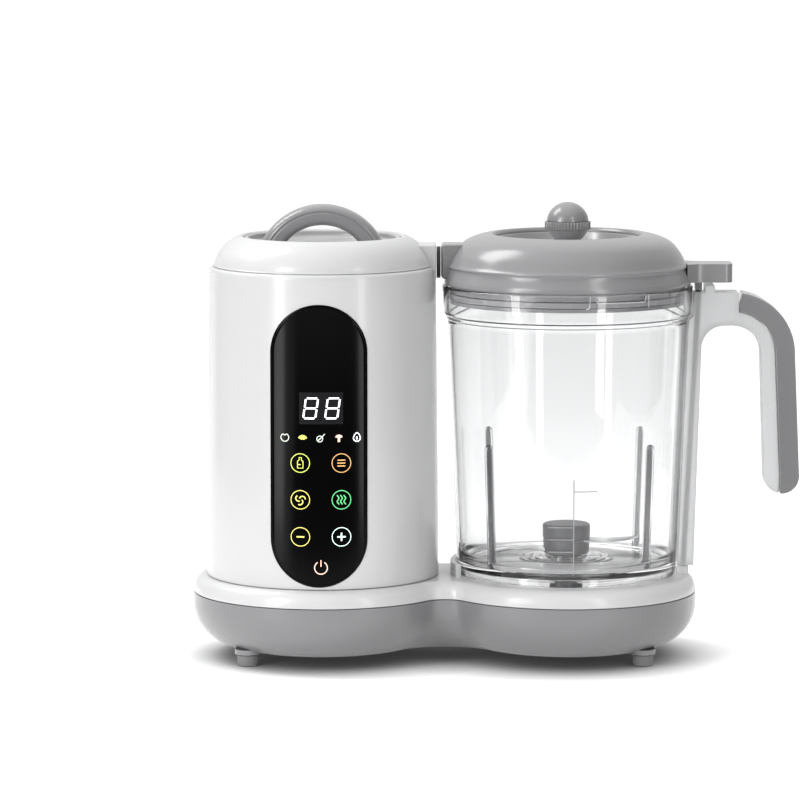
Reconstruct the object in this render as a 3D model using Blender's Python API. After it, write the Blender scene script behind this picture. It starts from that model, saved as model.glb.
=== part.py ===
"""A baby food maker: a steam column and a blending jug on one shared base.

All sizes are in millimetres and become metres when a mesh is made. +Z is up, the front faces -Y,
and the origin is the middle of the footprint on the table.
"""

import math

import bmesh
import bpy
from mathutils import Vector

MM = 0.001  # metres in a millimetre

# ---- Driving sizes ----
GAP = 0.3  # clearance between pieces that touch
WALL = 2.5  # wall of the moulded housings
COLUMN_FOOT_R = 60.5  # column at the deck
COLUMN_HEAD_R = 58.8  # column under its cap
JUG_FOOT_R = 57.0  # jug at the deck
JUG_HEAD_R = 62.2  # jug wall just under its collar
JUG_COLLAR_R = 65.0  # jug at its rim
JUG_WALL = 2.5
SIDE_GAP = 1.5  # between the column's foot and the jug's collar
BASE_MARGIN = 7.0  # base outside the column's foot
BODY_H = 160.8  # from the deck to the top of the column shell
RIM_DROP = 9.8  # the jug's rim is this far below the column shell's top
WAIST_FILLET = 12.0
FOOT_H = 6.0
BASE_ROUND_OUT = 24.0  # the bottom shell's rounding, across
BASE_ROUND_UP = 22.0  # and in height
SEAM_RISE = 28.0  # from the shell's underside to its top edge
DECK_ROUND_OUT = 6.5
DECK_RISE = 9.0  # from the seam to the deck's flat top
GRIP_REACH = 120.4  # from the jug's axis to the outside of the grip
GRIP_W = 18.1
GRIP_INLAY = 10.0  # thickness of the grey inlay
GRIP_LEAN = 2.8  # the grip's foot stands this far outside its top
ARM_H = 17.4
TANK_NECK_R = 32.0
CAP_OPENING_R = 41.0
PLUG_BORE_CLEARANCE = 2.0  # between the filler plug and the tank's neck, taken up by the seal
BLADE_REACH = 37.5
HUB_R = 12.5
PULLEY_SMALL_R = 8.0
PULLEY_LARGE_R = 28.0
BELT_THICK = 1.5
SHAFT_R = 3.0
MOTOR_R = 22.0
MOTOR_H = 50.0
BOILER_R = 38.0
BOILER_H = 30.0
LENS_HALF_W = 24.7
CORD_R = 3.5

# ---- Sizes that follow ----
AXIS_SPACING = COLUMN_FOOT_R + JUG_COLLAR_R + SIDE_GAP
BASE_R = max(COLUMN_FOOT_R, JUG_FOOT_R + 3.5) + BASE_MARGIN
COLUMN_X = BASE_R - (BASE_R + AXIS_SPACING + GRIP_REACH) / 2
JUG_X = COLUMN_X + AXIS_SPACING
MIDDLE_X = (COLUMN_X + JUG_X) / 2
FLOOR_Z = FOOT_H  # underside of the bottom shell
INNER_FLOOR_Z = FLOOR_Z + WALL
SEAM_Z = FLOOR_Z + SEAM_RISE
DECK_Z = SEAM_Z + DECK_RISE
DECK_UNDER_Z = DECK_Z - WALL
COLUMN_TOP_Z = DECK_Z + BODY_H
JUG_TOP_Z = COLUMN_TOP_Z - RIM_DROP
STEAM_Z = JUG_TOP_Z + 11.5  # height of the steam passage
BIG = 32  # facets round a large turned piece
SMALL = 20  # facets round a small one

# ---- Materials ----
FINISHES = {
    "white_abs": ((0.86, 0.86, 0.86), 0.25, 0.0),
    "grey_abs": ((0.33, 0.33, 0.34), 0.3, 0.0),
    "clear_plastic": ((0.80, 0.83, 0.85), 0.08, 0.0),
    "frosted_plastic": ((0.72, 0.73, 0.74), 0.45, 0.0),
    "black_plastic": ((0.02, 0.02, 0.02), 0.45, 0.0),
    "black_gloss": ((0.008, 0.008, 0.01), 0.06, 0.0),
    "dark_nylon": ((0.045, 0.045, 0.05), 0.4, 0.0),
    "steel": ((0.62, 0.62, 0.62), 0.25, 1.0),
    "bronze": ((0.55, 0.36, 0.18), 0.35, 1.0),
    "silicone": ((0.75, 0.75, 0.74), 0.6, 0.0),
    "rubber": ((0.10, 0.10, 0.11), 0.8, 0.0),
    "board": ((0.03, 0.16, 0.07), 0.5, 0.0),
}


def clear_scene():
    for thing in list(bpy.data.objects):
        bpy.data.objects.remove(thing, do_unlink=True)


def finish(name):
    """The Principled material of that name, made once."""
    if name in bpy.data.materials:
        return bpy.data.materials[name]
    colour, roughness, metallic = FINISHES[name]
    material = bpy.data.materials.new(name)
    material.use_nodes = True
    shader = material.node_tree.nodes["Principled BSDF"]
    shader.inputs["Base Color"].default_value = (*colour, 1.0)
    shader.inputs["Roughness"].default_value = roughness
    shader.inputs["Metallic"].default_value = metallic
    return material


# ---- Shapes ----
def closed_mesh(name, points, faces):
    """A mesh in metres with doubles merged and its faces pointing out."""
    mesh = bpy.data.meshes.new(name)
    mesh.from_pydata([Vector(p) * MM for p in points], [], faces)
    shape = bmesh.new()
    shape.from_mesh(mesh)
    bmesh.ops.remove_doubles(shape, verts=shape.verts, dist=1e-6)
    bmesh.ops.recalc_face_normals(shape, faces=shape.faces)
    shape.to_mesh(mesh)
    shape.free()
    mesh.shade_smooth()
    mesh.set_sharp_from_angle(angle=math.radians(32))
    return mesh


def arc(centre, radius, start, end, steps, radius_2=None):
    """Points of a plane arc, or of an ellipse's when a second radius is given; angles in degrees."""
    other = radius if radius_2 is None else radius_2
    angles = [math.radians(start + (end - start) * i / steps) for i in range(steps + 1)]
    return [(centre[0] + radius * math.cos(a), centre[1] + other * math.sin(a)) for a in angles]


def turned(name, profile, steps=BIG, middle=(0, 0)):
    """A closed (radius, height) profile turned about a vertical axis."""
    count = len(profile)
    points = []
    for j in range(steps):
        a = 2 * math.pi * j / steps
        points += [(middle[0] + r * math.cos(a), middle[1] + r * math.sin(a), z) for r, z in profile]
    faces = []
    for j in range(steps):
        k = (j + 1) % steps
        for i in range(count):
            n = (i + 1) % count
            if profile[i][0] > 0 or profile[n][0] > 0:
                faces.append((j * count + i, k * count + i, k * count + n, j * count + n))
    return closed_mesh(name, points, faces)


def lofted(name, loops):
    """Loops with equal numbers of points, joined in turn and closed by a face at each end."""
    count = len(loops[0])
    points = [p for loop in loops for p in loop]
    faces = [tuple(range(count)), tuple(range((len(loops) - 1) * count, len(loops) * count))]
    for i in range(len(loops) - 1):
        for j in range(count):
            k = (j + 1) % count
            faces.append((i * count + j, i * count + k, (i + 1) * count + k, (i + 1) * count + j))
    return closed_mesh(name, points, faces)


def prism(name, outline, low, high):
    """An outline in plan, raised from low to high."""
    return lofted(name, [[(x, y, z) for x, y in outline] for z in (low, high)])


def slab(name, outline, depth, middle=0.0):
    """An outline in front view (x, z), as thick as depth in Y."""
    sides = (middle - depth / 2, middle + depth / 2)
    return lofted(name, [[(x, y, z) for x, z in outline] for y in sides])


def block(name, x, y, z):
    """A box between pairs of limits."""
    outline = [(x[0], y[0]), (x[1], y[0]), (x[1], y[1]), (x[0], y[1])]
    return prism(name, outline, *z)


def rod(name, start, end, radius, end_radius=None, steps=SMALL):
    """A round bar, or a taper, between two points."""
    start, end = Vector(start), Vector(end)
    turn = (end - start).to_track_quat("Z", "Y").to_matrix()
    loops = []
    for point, r in ((start, radius), (end, radius if end_radius is None else end_radius)):
        circle = [(r * math.cos(a), r * math.sin(a), 0) for a in
                  (2 * math.pi * j / steps for j in range(steps))]
        loops.append([tuple(point + turn @ Vector(p)) for p in circle])
    return lofted(name, loops)


def ring(name, inner, outer, low, high, steps=SMALL, middle=(0, 0)):
    """A plain washer or sleeve."""
    profile = [(outer, high), (outer, low), (inner, low), (inner, high)]
    return turned(name, profile, steps, middle)


def smooth_route(points, spacing):
    """Points at even spacing on a Catmull-Rom curve through the route's own points."""
    route = [Vector(p) for p in points]
    route = [2 * route[0] - route[1], *route, 2 * route[-1] - route[-2]]
    fine = []
    for a, b, c, d in zip(route, route[1:], route[2:], route[3:]):
        for i in range(20):
            t = i / 20
            fine.append(0.5 * (2 * b + (c - a) * t + (2 * a - 5 * b + 4 * c - d) * t * t
                               + (3 * b - a - 3 * c + d) * t ** 3))
    fine.append(route[-2])
    runs = [0.0]
    for a, b in zip(fine, fine[1:]):
        runs.append(runs[-1] + (b - a).length)
    count = max(2, round(runs[-1] / spacing))
    even = []
    i = 0
    for k in range(count + 1):
        want = runs[-1] * k / count
        while i < len(runs) - 2 and runs[i + 1] < want:
            i += 1
        share = (want - runs[i]) / (runs[i + 1] - runs[i])
        even.append(fine[i].lerp(fine[i + 1], share))
    return even


# ---- Placing ----
def axis(name, x):
    """An empty on a vertical axis, which the pieces that share the axis are parented to."""
    empty = bpy.data.objects.new(name, None)
    empty.location = (x * MM, 0, 0)
    bpy.context.scene.collection.objects.link(empty)
    return empty


def place(name, mesh, parent, material):
    """An object for a mesh, under its axis and in its own material."""
    piece = bpy.data.objects.new(name, mesh)
    piece.parent = parent
    mesh.materials.append(finish(material))
    bpy.context.scene.collection.objects.link(piece)
    return piece


def shape_with(target, mesh, operation):
    """Cut a shape out of a piece, or join it on, with a Boolean."""
    tool = bpy.data.objects.new("tool_" + mesh.name, mesh)
    tool.parent = target.parent
    tool.hide_render = True
    tool.display_type = "WIRE"
    bpy.context.scene.collection.objects.link(tool)
    change = target.modifiers.new(operation.lower(), "BOOLEAN")
    change.operation = operation
    change.solver = "EXACT"
    change.object = tool


def cut(target, mesh):
    shape_with(target, mesh, "DIFFERENCE")


def add(target, mesh):
    shape_with(target, mesh, "UNION")


def tube(name, route, radius, material, resolution=2):
    """A round tube along a list of points, as a curve with filled caps."""
    curve = bpy.data.curves.new(name, "CURVE")
    curve.dimensions = "3D"
    line = curve.splines.new("POLY")
    line.points.add(len(route) - 1)
    for point, place_at in zip(line.points, route):
        point.co = (*(Vector(place_at) * MM), 1.0)
    curve.bevel_depth = radius * MM
    curve.bevel_resolution = resolution
    curve.use_fill_caps = True
    curve.materials.append(finish(material))
    piece = bpy.data.objects.new(name, curve)
    bpy.context.scene.collection.objects.link(piece)
    return piece


# ---- Base ----
def peanut(inset, z):
    """Plan of the base: two round lobes and two waist fillets, all moved inwards by inset."""
    half = AXIS_SPACING / 2
    lobe, fillet = BASE_R - inset, WAIST_FILLET + inset
    rise = math.sqrt((BASE_R + WAIST_FILLET) ** 2 - half ** 2)
    lean = math.degrees(math.atan2(rise, half))
    end = 180 - lean
    right = [*arc((half, 0), lobe, -end, -90, 3), *arc((half, 0), lobe, -90, 90, 12)[1:],
             *arc((half, 0), lobe, 90, end, 3)[1:]]
    back = arc((0, rise), fillet, -lean, lean - 180, 5)[1:-1]
    half_plan = right + back
    other_half = [(-x, -y) for x, y in half_plan]
    return [(x, y, z) for x, y in half_plan + other_half]


def foot_places():
    out = BASE_R - BASE_ROUND_OUT + 8.5
    angle = math.radians(42.3)
    for side, word_x in ((-1, "left"), (1, "right")):
        for depth, word_y in ((-1, "front"), (1, "rear")):
            x = side * (AXIS_SPACING / 2 + out * math.cos(angle))
            yield f"foot_{word_y}_{word_x}", x, depth * out * math.sin(angle)


def screw_places():
    out = BASE_R - BASE_ROUND_OUT - 5.5
    for side in (-1, 1):
        for depth in (-1, 1):
            x = side * (AXIS_SPACING / 2 + out * math.cos(math.radians(60)))
            yield x, depth * out * math.sin(math.radians(60))


SCREW_HEAD_R, SCREW_SHANK_R, BOSS_R, PAD_R, SPIGOT_R = 3.0, 1.4, 4.0, 6.5, 2.5
GLAND_R, GLAND_Z = 6.0, 19.0
WAIST_Y = math.sqrt((BASE_R + WAIST_FILLET) ** 2 - (AXIS_SPACING / 2) ** 2) - WAIST_FILLET


def rounding(wall, steps):
    """(inset, height) down the bottom shell's rounded side, moved inwards by a wall."""
    across, up = BASE_ROUND_OUT - wall, BASE_ROUND_UP - wall
    arc_points = []
    for i in range(steps + 1):
        t = math.pi / 2 * i / steps
        arc_points.append((wall + across * (1 - math.cos(t)), FLOOR_Z + wall + up * (1 - math.sin(t))))
    return arc_points


def bottom_shell(parent):
    outer = [(0, SEAM_Z), *rounding(0, 5)]
    inner = [(WALL, SEAM_Z), *rounding(WALL, 4)]
    shell = place("base_bottom_shell", lofted("base_bottom_shell",
                  [peanut(d, z) for d, z in [*outer[::-1], *inner]]), parent, "grey_abs")
    for name, x, y in foot_places():
        add(shell, rod("pad_" + name, (x, y, FLOOR_Z - 0.1), (x, y, FLOOR_Z + 6), PAD_R, steps=16))
        cut(shell, rod("hole_" + name, (x, y, 0), (x, y, FLOOR_Z + 9), SPIGOT_R + GAP, steps=12))
    for i, (x, y) in enumerate(screw_places()):
        cut(shell, rod(f"bore_{i}", (x, y, 0), (x, y, 10), SCREW_SHANK_R + 0.4, steps=12))
        cut(shell, rod(f"sink_{i}", (x, y, 0), (x, y, FLOOR_Z + 1.2), SCREW_HEAD_R + 0.4, steps=12))
    cut(shell, rod("gland_hole", (0, WAIST_Y - 22, GLAND_Z), (0, WAIST_Y + 8, GLAND_Z), GLAND_R + GAP))
    for name, x, y in foot_places():
        foot = place(name, rod(name, (x, y, 0), (x, y, FLOOR_Z - 0.4), 5.0, 5.5, 16), parent, "rubber")
        add(foot, rod("spigot_" + name, (x, y, FLOOR_Z - 2), (x, y, FLOOR_Z + 5), SPIGOT_R, steps=12))
    for i, (x, y) in enumerate(screw_places()):
        name = f"base_screw_{i + 1}"
        screw = place(name, rod(name, (x, y, FLOOR_Z - 0.6), (x, y, FLOOR_Z + 0.9), SCREW_HEAD_R, steps=12),
                      parent, "steel")
        add(screw, rod("shank_" + name, (x, y, FLOOR_Z), (x, y, FLOOR_Z + 14), SCREW_SHANK_R, steps=12))


LIP_IN, LIP_OUT, LIP_H = WALL + GAP, WALL + 2.0, 3.0
SPIGOT_H, SPIGOT_WALL = 4.0, 2.2  # the ring on the deck that the column stands round
SPINDLE_BEARING_R = 8.0
PLUNGER_X = JUG_FOOT_R + 3.9  # from the jug's axis
PLUNGER_R = 1.5
SWITCH_IN = 10.0  # the switch's inner side is this far inside the plunger
SWITCH_TOP_Z = SEAM_Z + 0.2
POST_TOP_Z = DECK_Z + 4.5
MOTOR_HOLE_R = 30.0


def deck(parent):
    seam = SEAM_Z + GAP
    rise = DECK_Z - seam
    outer = []
    for i in range(5):
        t = math.pi / 2 * i / 4
        outer.append((DECK_ROUND_OUT * (1 - math.cos(t)), seam + rise * math.sin(t)))
    inner = [(LIP_IN, seam), (LIP_IN, seam - LIP_H), (LIP_OUT, seam - LIP_H),
             (LIP_OUT, DECK_UNDER_Z - 3), (DECK_ROUND_OUT + 0.5, DECK_UNDER_Z)]
    cover = place("base_deck", lofted("base_deck", [peanut(d, z) for d, z in [*outer[::-1], *inner]]),
                  parent, "white_abs")
    half = AXIS_SPACING / 2
    spigot_r = column_radius(DECK_Z + SPIGOT_H) - WALL - GAP
    add(cover, ring("column_spigot", spigot_r - SPIGOT_WALL, spigot_r, DECK_Z - 1, DECK_Z + SPIGOT_H, BIG,
                    (-half, 0)))
    lug = [*arc((half, 0), JUG_FOOT_R + 0.7, 162, 198, 6),
           *arc((half, 0), JUG_FOOT_R + 3.7, 198, 162, 6)]
    add(cover, prism("jug_lug", lug, DECK_Z - 1, DECK_Z + 7))
    post_x = (half + JUG_FOOT_R + 0.7, half + JUG_FOOT_R + 6.6)
    add(cover, block("switch_post", post_x, (-5, 5), (DECK_Z - 2, POST_TOP_Z)))
    hanger_x = (half + PLUNGER_X - SWITCH_IN, half + PLUNGER_X - PLUNGER_R - 1)
    add(cover, block("switch_hanger", hanger_x, (-5, 5), (SWITCH_TOP_Z + GAP, DECK_Z - 1)))
    for i, (x, y) in enumerate(screw_places()):
        add(cover, rod(f"boss_{i}", (x, y, INNER_FLOOR_Z + GAP), (x, y, DECK_Z - 1), BOSS_R, steps=12))
        cut(cover, rod(f"pilot_{i}", (x, y, 0), (x, y, FLOOR_Z + 16), SCREW_SHANK_R + GAP, steps=12))
    cut(cover, rod("motor_hole", (-half, 0, SEAM_Z), (-half, 0, DECK_Z + 9), MOTOR_HOLE_R))
    cut(cover, rod("bearing_hole", (half, 0, SEAM_Z), (half, 0, DECK_Z + 9), SPINDLE_BEARING_R + GAP))
    cut(cover, rod("plunger_hole", (half + PLUNGER_X, 0, SEAM_Z - 6), (half + PLUNGER_X, 0, DECK_Z + 9),
                   PLUNGER_R + GAP, steps=12))


# ---- Column ----
SHELL_TOP_Z = COLUMN_TOP_Z
LENS_LOW_Z = DECK_Z + 1.5
LENS_HIGH_Z = JUG_TOP_Z - 5
LENS_X = -1.0
CAP_TOP_Z = SHELL_TOP_Z + 15.8
PIPE_R = 2.5
TANK_R = COLUMN_HEAD_R - WALL - 2 * PIPE_R - 5.3
PIPE_X = TANK_R + PIPE_R + 2.5
OUTLET_IN_X = TANK_R + 4
OUTLET_OUT_X = COLUMN_HEAD_R + 0.1
OUTLET_LOW_Z, OUTLET_HIGH_Z = STEAM_Z - 9, STEAM_Z + 9.8
OUTLET_HALF_W = 10.0


def column_radius(z):
    """Outside radius of the column shell at a height."""
    share = (z - DECK_Z) / (SHELL_TOP_Z - DECK_Z)
    return COLUMN_FOOT_R + (COLUMN_HEAD_R - COLUMN_FOOT_R) * share


def stadium(margin):
    """Front outline of the control lens, a slot with round ends, grown by a margin."""
    r = LENS_HALF_W + margin
    low, high = LENS_LOW_Z + LENS_HALF_W, LENS_HIGH_Z - LENS_HALF_W
    return [*arc((LENS_X, high), r, 0, 180, 10), *arc((LENS_X, low), r, 180, 360, 10)]


def column(parent):
    low = DECK_Z + GAP
    top_r = COLUMN_HEAD_R
    shell = place("column_shell", turned("column_shell", [
        (top_r - 1.4, SHELL_TOP_Z), (top_r - 0.4, SHELL_TOP_Z - 0.8), (top_r, SHELL_TOP_Z - 2.2),
        (COLUMN_FOOT_R, low), (COLUMN_FOOT_R - WALL, low), (top_r - WALL, SHELL_TOP_Z)]),
        parent, "white_abs")
    cut(shell, slab("lens_window", stadium(GAP), 40, -COLUMN_FOOT_R))
    notch = ((OUTLET_IN_X - GAP, COLUMN_FOOT_R + 5), (-OUTLET_HALF_W - GAP, OUTLET_HALF_W + GAP),
             (OUTLET_LOW_Z - GAP, OUTLET_HIGH_Z + GAP))
    cut(shell, block("shell_notch", *notch))

    z0 = SHELL_TOP_Z + 0.4
    flange = top_r - WALL - GAP
    shoulder = arc((top_r - 21.6, z0 - 5), 19.9, 14.5, 66, 5, 21.2)
    well = CAP_OPENING_R
    cap = place("column_cap", turned("column_cap", [
        (well, CAP_TOP_Z - 0.5), (well + 1, CAP_TOP_Z), (well + 3, CAP_TOP_Z), *shoulder[::-1],
        (top_r - 1.9, z0), (flange, z0), (flange, z0 - 6), (flange - 2, z0 - 6), (flange - 2, z0 + 1.5),
        (well + 7, z0 + 10.5), (well + 2, z0 + 12.8), (well + 2, z0 + 4), (well, z0 + 4)]),
        parent, "white_abs")
    cut(cap, block("cap_notch", *notch))

    lens = place("control_lens", turned("control_lens", [
        (COLUMN_HEAD_R + 0.35, SHELL_TOP_Z), (COLUMN_FOOT_R + 0.35, low),
        (COLUMN_FOOT_R - 1.9, low), (COLUMN_HEAD_R - 1.9, SHELL_TOP_Z)]), parent, "black_gloss")
    shape_with(lens, slab("lens_outline", stadium(0), 40, -COLUMN_FOOT_R), "INTERSECT")

    front = -(column_radius(LENS_HIGH_Z) - WALL)
    place("control_board", block("control_board", (-20, 20), (front + 6, front + 7.6),
          (DECK_Z + 14, LENS_HIGH_Z - 14)), parent, "board")
    display_z = LENS_HIGH_Z - LENS_HALF_W - 28
    place("display_module", block("display_module", (-13, 11), (front + 2.5, front + 5.7),
          (display_z - 10, display_z + 10)), parent, "black_plastic")


BOILER_LOW_Z = DECK_Z + 3 + MOTOR_H + 12
BOILER_HIGH_Z = BOILER_LOW_Z + BOILER_H
TANK_LOW_Z = BOILER_HIGH_Z + 2
TANK_SHOULDER_Z = SHELL_TOP_Z - 7
KNOB_LOW_Z = SHELL_TOP_Z + 8.2
TANK_NECK_TOP_Z = KNOB_LOW_Z - GAP
TANK_WALL = 2.0
ARCH_R, ARCH_HALF_T, ARCH_HALF_W = 29.5, 5.5, 7.5  # the knob's arch and its section


def water_and_steam(parent):
    neck, wall = TANK_NECK_R, TANK_WALL
    place("water_tank", turned("water_tank", [
        (neck, TANK_NECK_TOP_Z), (neck, TANK_SHOULDER_Z + 5), (TANK_R, TANK_SHOULDER_Z),
        (TANK_R, TANK_LOW_Z + 2), (TANK_R - 2, TANK_LOW_Z), (0, TANK_LOW_Z), (0, TANK_LOW_Z + wall),
        (TANK_R - wall - 1.5, TANK_LOW_Z + wall), (TANK_R - wall, TANK_LOW_Z + wall + 1.5),
        (TANK_R - wall, TANK_SHOULDER_Z - 1), (neck - wall, TANK_SHOULDER_Z + 3.5),
        (neck - wall, TANK_NECK_TOP_Z)]), parent, "clear_plastic")
    place("boiler_cup", turned("boiler_cup", [
        (4, BOILER_HIGH_Z), (BOILER_R - 3, BOILER_HIGH_Z), (BOILER_R, BOILER_HIGH_Z - 3),
        (BOILER_R, BOILER_LOW_Z), (0, BOILER_LOW_Z), (0, BOILER_LOW_Z + wall),
        (BOILER_R - wall, BOILER_LOW_Z + wall), (BOILER_R - wall, BOILER_HIGH_Z - wall - 2),
        (BOILER_R - wall - 2, BOILER_HIGH_Z - wall), (4, BOILER_HIGH_Z - wall)], 32), parent, "steel")
    place("boiler_heater", turned("boiler_heater", [
        (33, BOILER_LOW_Z - GAP), (34, BOILER_LOW_Z - 3.5), (33, BOILER_LOW_Z - 6.5),
        (27, BOILER_LOW_Z - 6.5), (26, BOILER_LOW_Z - 3.5), (27, BOILER_LOW_Z - GAP)], 28), parent, "steel")

    start_z = BOILER_HIGH_Z - 10
    route = [(BOILER_R + 0.5, 0, start_z), (BOILER_R + 3, 0, start_z), (BOILER_R + 7.5, 0, start_z + 1.5),
             (PIPE_X - 1, 0, start_z + 8), (PIPE_X, 0, start_z + 15),
             (PIPE_X, 0, (start_z + OUTLET_LOW_Z) / 2), (PIPE_X, 0, OUTLET_LOW_Z - GAP)]
    pipe = tube("steam_pipe", smooth_route(route, 6), PIPE_R, "silicone", 1)
    pipe.parent = parent
    outlet = place("steam_outlet", block("steam_outlet", (OUTLET_IN_X, OUTLET_OUT_X),
                   (-OUTLET_HALF_W, OUTLET_HALF_W), (OUTLET_LOW_Z, OUTLET_HIGH_Z)), parent, "white_abs")
    cut(outlet, rod("outlet_riser", (PIPE_X, 0, 0), (PIPE_X, 0, STEAM_Z + 2.5), 2.2, steps=12))
    cut(outlet, rod("outlet_run", (PIPE_X, 0, STEAM_Z), (PIPE_X + 20, 0, STEAM_Z), 2.5, steps=12))
    gasket = place("steam_gasket", rod("steam_gasket", (OUTLET_OUT_X + GAP, 0, STEAM_Z),
                   (OUTLET_OUT_X + GAP + 2, 0, STEAM_Z), 8.2), parent, "rubber")
    cut(gasket, rod("gasket_hole", (OUTLET_OUT_X - 5, 0, STEAM_Z), (OUTLET_OUT_X + 9, 0, STEAM_Z), 3,
                    steps=12))


def filler(plug_axis, knob_axis):
    """The tank's plug with its seal, and the turning knob with its arch above it."""
    plug_r = TANK_NECK_R - TANK_WALL - PLUG_BORE_CLEARANCE
    top, low = KNOB_LOW_Z - GAP, KNOB_LOW_Z - 12
    place("tank_plug", turned("tank_plug", [
        (plug_r, top), (plug_r, low + 7.3), (plug_r - 2, low + 7.3), (plug_r - 2, low + 4),
        (plug_r, low + 4),
        (plug_r, low), (plug_r - 4, low), (plug_r - 4, top - 2), (0, top - 2), (0, top)], 32),
        plug_axis, "grey_abs")
    place("tank_plug_seal", ring("tank_plug_seal", plug_r - 2 + GAP, TANK_NECK_R - TANK_WALL - GAP,
          low + 4 + GAP, low + 7, 32), plug_axis, "silicone")

    disc_r = CAP_OPENING_R - 0.5
    floor_z, rim_z = KNOB_LOW_Z + 2.5, KNOB_LOW_Z + 6.4
    knob = place("tank_knob", turned("tank_knob", [
        (disc_r - 1.2, rim_z + 0.5), (disc_r, rim_z), (disc_r, KNOB_LOW_Z), (0, KNOB_LOW_Z), (0, floor_z),
        (disc_r - 4, floor_z), (disc_r - 2.2, floor_z + 1.6), (disc_r - 2, rim_z)]), knob_axis, "grey_abs")
    centre_z, middle_r = KNOB_LOW_Z - 11.3, ARCH_R
    root = KNOB_LOW_Z + 1 - centre_z
    section = [(ARCH_HALF_T * math.copysign(abs(math.cos(t)) ** 0.7, math.cos(t)),
                ARCH_HALF_W * math.copysign(abs(math.sin(t)) ** 0.7, math.sin(t)))
               for t in (2 * math.pi * j / 10 for j in range(10))]
    loops = []
    for i in range(13):
        loop = []
        for u, v in section:
            start = math.asin(root / (middle_r + u))
            a = start + (math.pi - 2 * start) * i / 12
            loop.append(((middle_r + u) * math.cos(a), v, centre_z + (middle_r + u) * math.sin(a)))
        loops.append(loop)
    add(knob, lofted("knob_arch", loops))


# ---- Drive ----
BELT_LOW_Z = SEAM_Z - 10
BELT_H = 9.0


def hull_outline(small, large):
    """Outline round two circles on the two axes, with straight runs between them."""
    half = AXIS_SPACING / 2
    lean = math.degrees(math.asin((large - small) / AXIS_SPACING))
    return [*arc((half, 0), large, -90 - lean, 90 + lean, 18),
            *arc((-half, 0), small, 90 + lean, 270 - lean, 8)]


def pulley(name, radius, parent):
    low, high = BELT_LOW_Z, BELT_LOW_Z + BELT_H
    inner = max(radius - 4, SHAFT_R + 4)
    profile = [(radius, high), (radius, low), (inner, low)]
    if inner > SHAFT_R + 5:
        profile += [(inner, low + 3), (SHAFT_R + 4, low + 3), (SHAFT_R + 4, low)]
    profile += [(SHAFT_R + GAP, low), (SHAFT_R + GAP, high)]
    if inner > SHAFT_R + 5:
        profile += [(SHAFT_R + 4, high), (SHAFT_R + 4, high - 3), (inner, high - 3), (inner, high)]
    place(name, turned(name, profile, 28), parent, "dark_nylon")


def motor(column_axis, rotor_axis):
    low, high = DECK_Z + 3, DECK_Z + 3 + MOTOR_H
    hole = SHAFT_R + 0.6
    wall = 2.0
    place("motor_can", turned("motor_can", [
        (MOTOR_R - 1, high), (MOTOR_R, high - 1), (MOTOR_R, low), (hole, low), (hole, low + wall),
        (MOTOR_R - wall, low + wall), (MOTOR_R - wall, high - wall), (hole, high - wall), (hole, high)], 28),
        column_axis, "steel")
    place("motor_bracket", ring("motor_bracket", 6 + GAP, MOTOR_HOLE_R + 4, DECK_Z + GAP, low - GAP, 28),
          column_axis, "steel")
    place("motor_bearing_lower", ring("motor_bearing_lower", SHAFT_R + GAP, 6, DECK_Z + GAP, low - GAP),
          column_axis, "bronze")
    core_r = MOTOR_R - wall - 4
    core_low, core_high = low + wall + 5, high - wall - 5
    place("motor_rotor", turned("motor_rotor", [
        (0, high + 3), (SHAFT_R, high + 3), (SHAFT_R, core_high), (core_r, core_high), (core_r, core_low),
        (SHAFT_R, core_low), (SHAFT_R, BELT_LOW_Z - 2), (0, BELT_LOW_Z - 2)]), rotor_axis, "steel")
    pulley("motor_pulley", PULLEY_SMALL_R, rotor_axis)


DOG_R = 6.0
DOG_HIGH_Z = DECK_Z + 5
HEX = 6


def hexagon(radius):
    return arc((0, 0), radius, 0, 360, HEX)[:-1]


def drive(base_axis, jug_axis, spindle_axis):
    belt = place("drive_belt", prism("drive_belt", hull_outline(PULLEY_SMALL_R + GAP + BELT_THICK,
                 PULLEY_LARGE_R + GAP + BELT_THICK), BELT_LOW_Z + 1, BELT_LOW_Z + BELT_H - 1),
                 base_axis, "rubber")
    cut(belt, prism("belt_inside", hull_outline(PULLEY_SMALL_R + GAP, PULLEY_LARGE_R + GAP),
                    BELT_LOW_Z - 5, BELT_LOW_Z + BELT_H + 5))
    place("spindle_bearing", ring("spindle_bearing", SHAFT_R + GAP, SPINDLE_BEARING_R, DECK_UNDER_Z, DECK_Z),
          jug_axis, "bronze")
    place("spindle_foot_bearing", ring("spindle_foot_bearing", SHAFT_R + GAP, 7, INNER_FLOOR_Z + GAP,
          INNER_FLOOR_Z + 7), jug_axis, "bronze")
    place("drive_spindle", rod("drive_spindle", (0, 0, INNER_FLOOR_Z + 1.5), (0, 0, DECK_Z + 4), SHAFT_R),
          spindle_axis, "steel")
    pulley("driven_pulley", PULLEY_LARGE_R, spindle_axis)
    dog = place("drive_dog", prism("drive_dog", hexagon(DOG_R), DECK_Z + 0.6, DOG_HIGH_Z), spindle_axis,
                "dark_nylon")
    cut(dog, rod("dog_bore", (0, 0, 0), (0, 0, DECK_Z + 9), SHAFT_R + GAP))


# ---- Jug ----
JUG_FLOOR_Z = DECK_Z + 7  # top of the jug's floor
JUG_UNDER_Z = JUG_FLOOR_Z - JUG_WALL
CUP_TOP_Z = JUG_FLOOR_Z + 2.5
COLLAR_LOW_Z = JUG_TOP_Z - 15.5
BUSH_R = 6.0


def jug_radius(z):
    """Outside radius of the jug's wall at a height under the collar."""
    return JUG_FOOT_R + (JUG_HEAD_R - JUG_FOOT_R) * (z - DECK_Z) / (COLLAR_LOW_Z - DECK_Z)


def collar_radius(z):
    """Outside radius of the jug's collar at a height."""
    return JUG_COLLAR_R - (JUG_TOP_Z - z) / (JUG_TOP_Z - COLLAR_LOW_Z)


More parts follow.
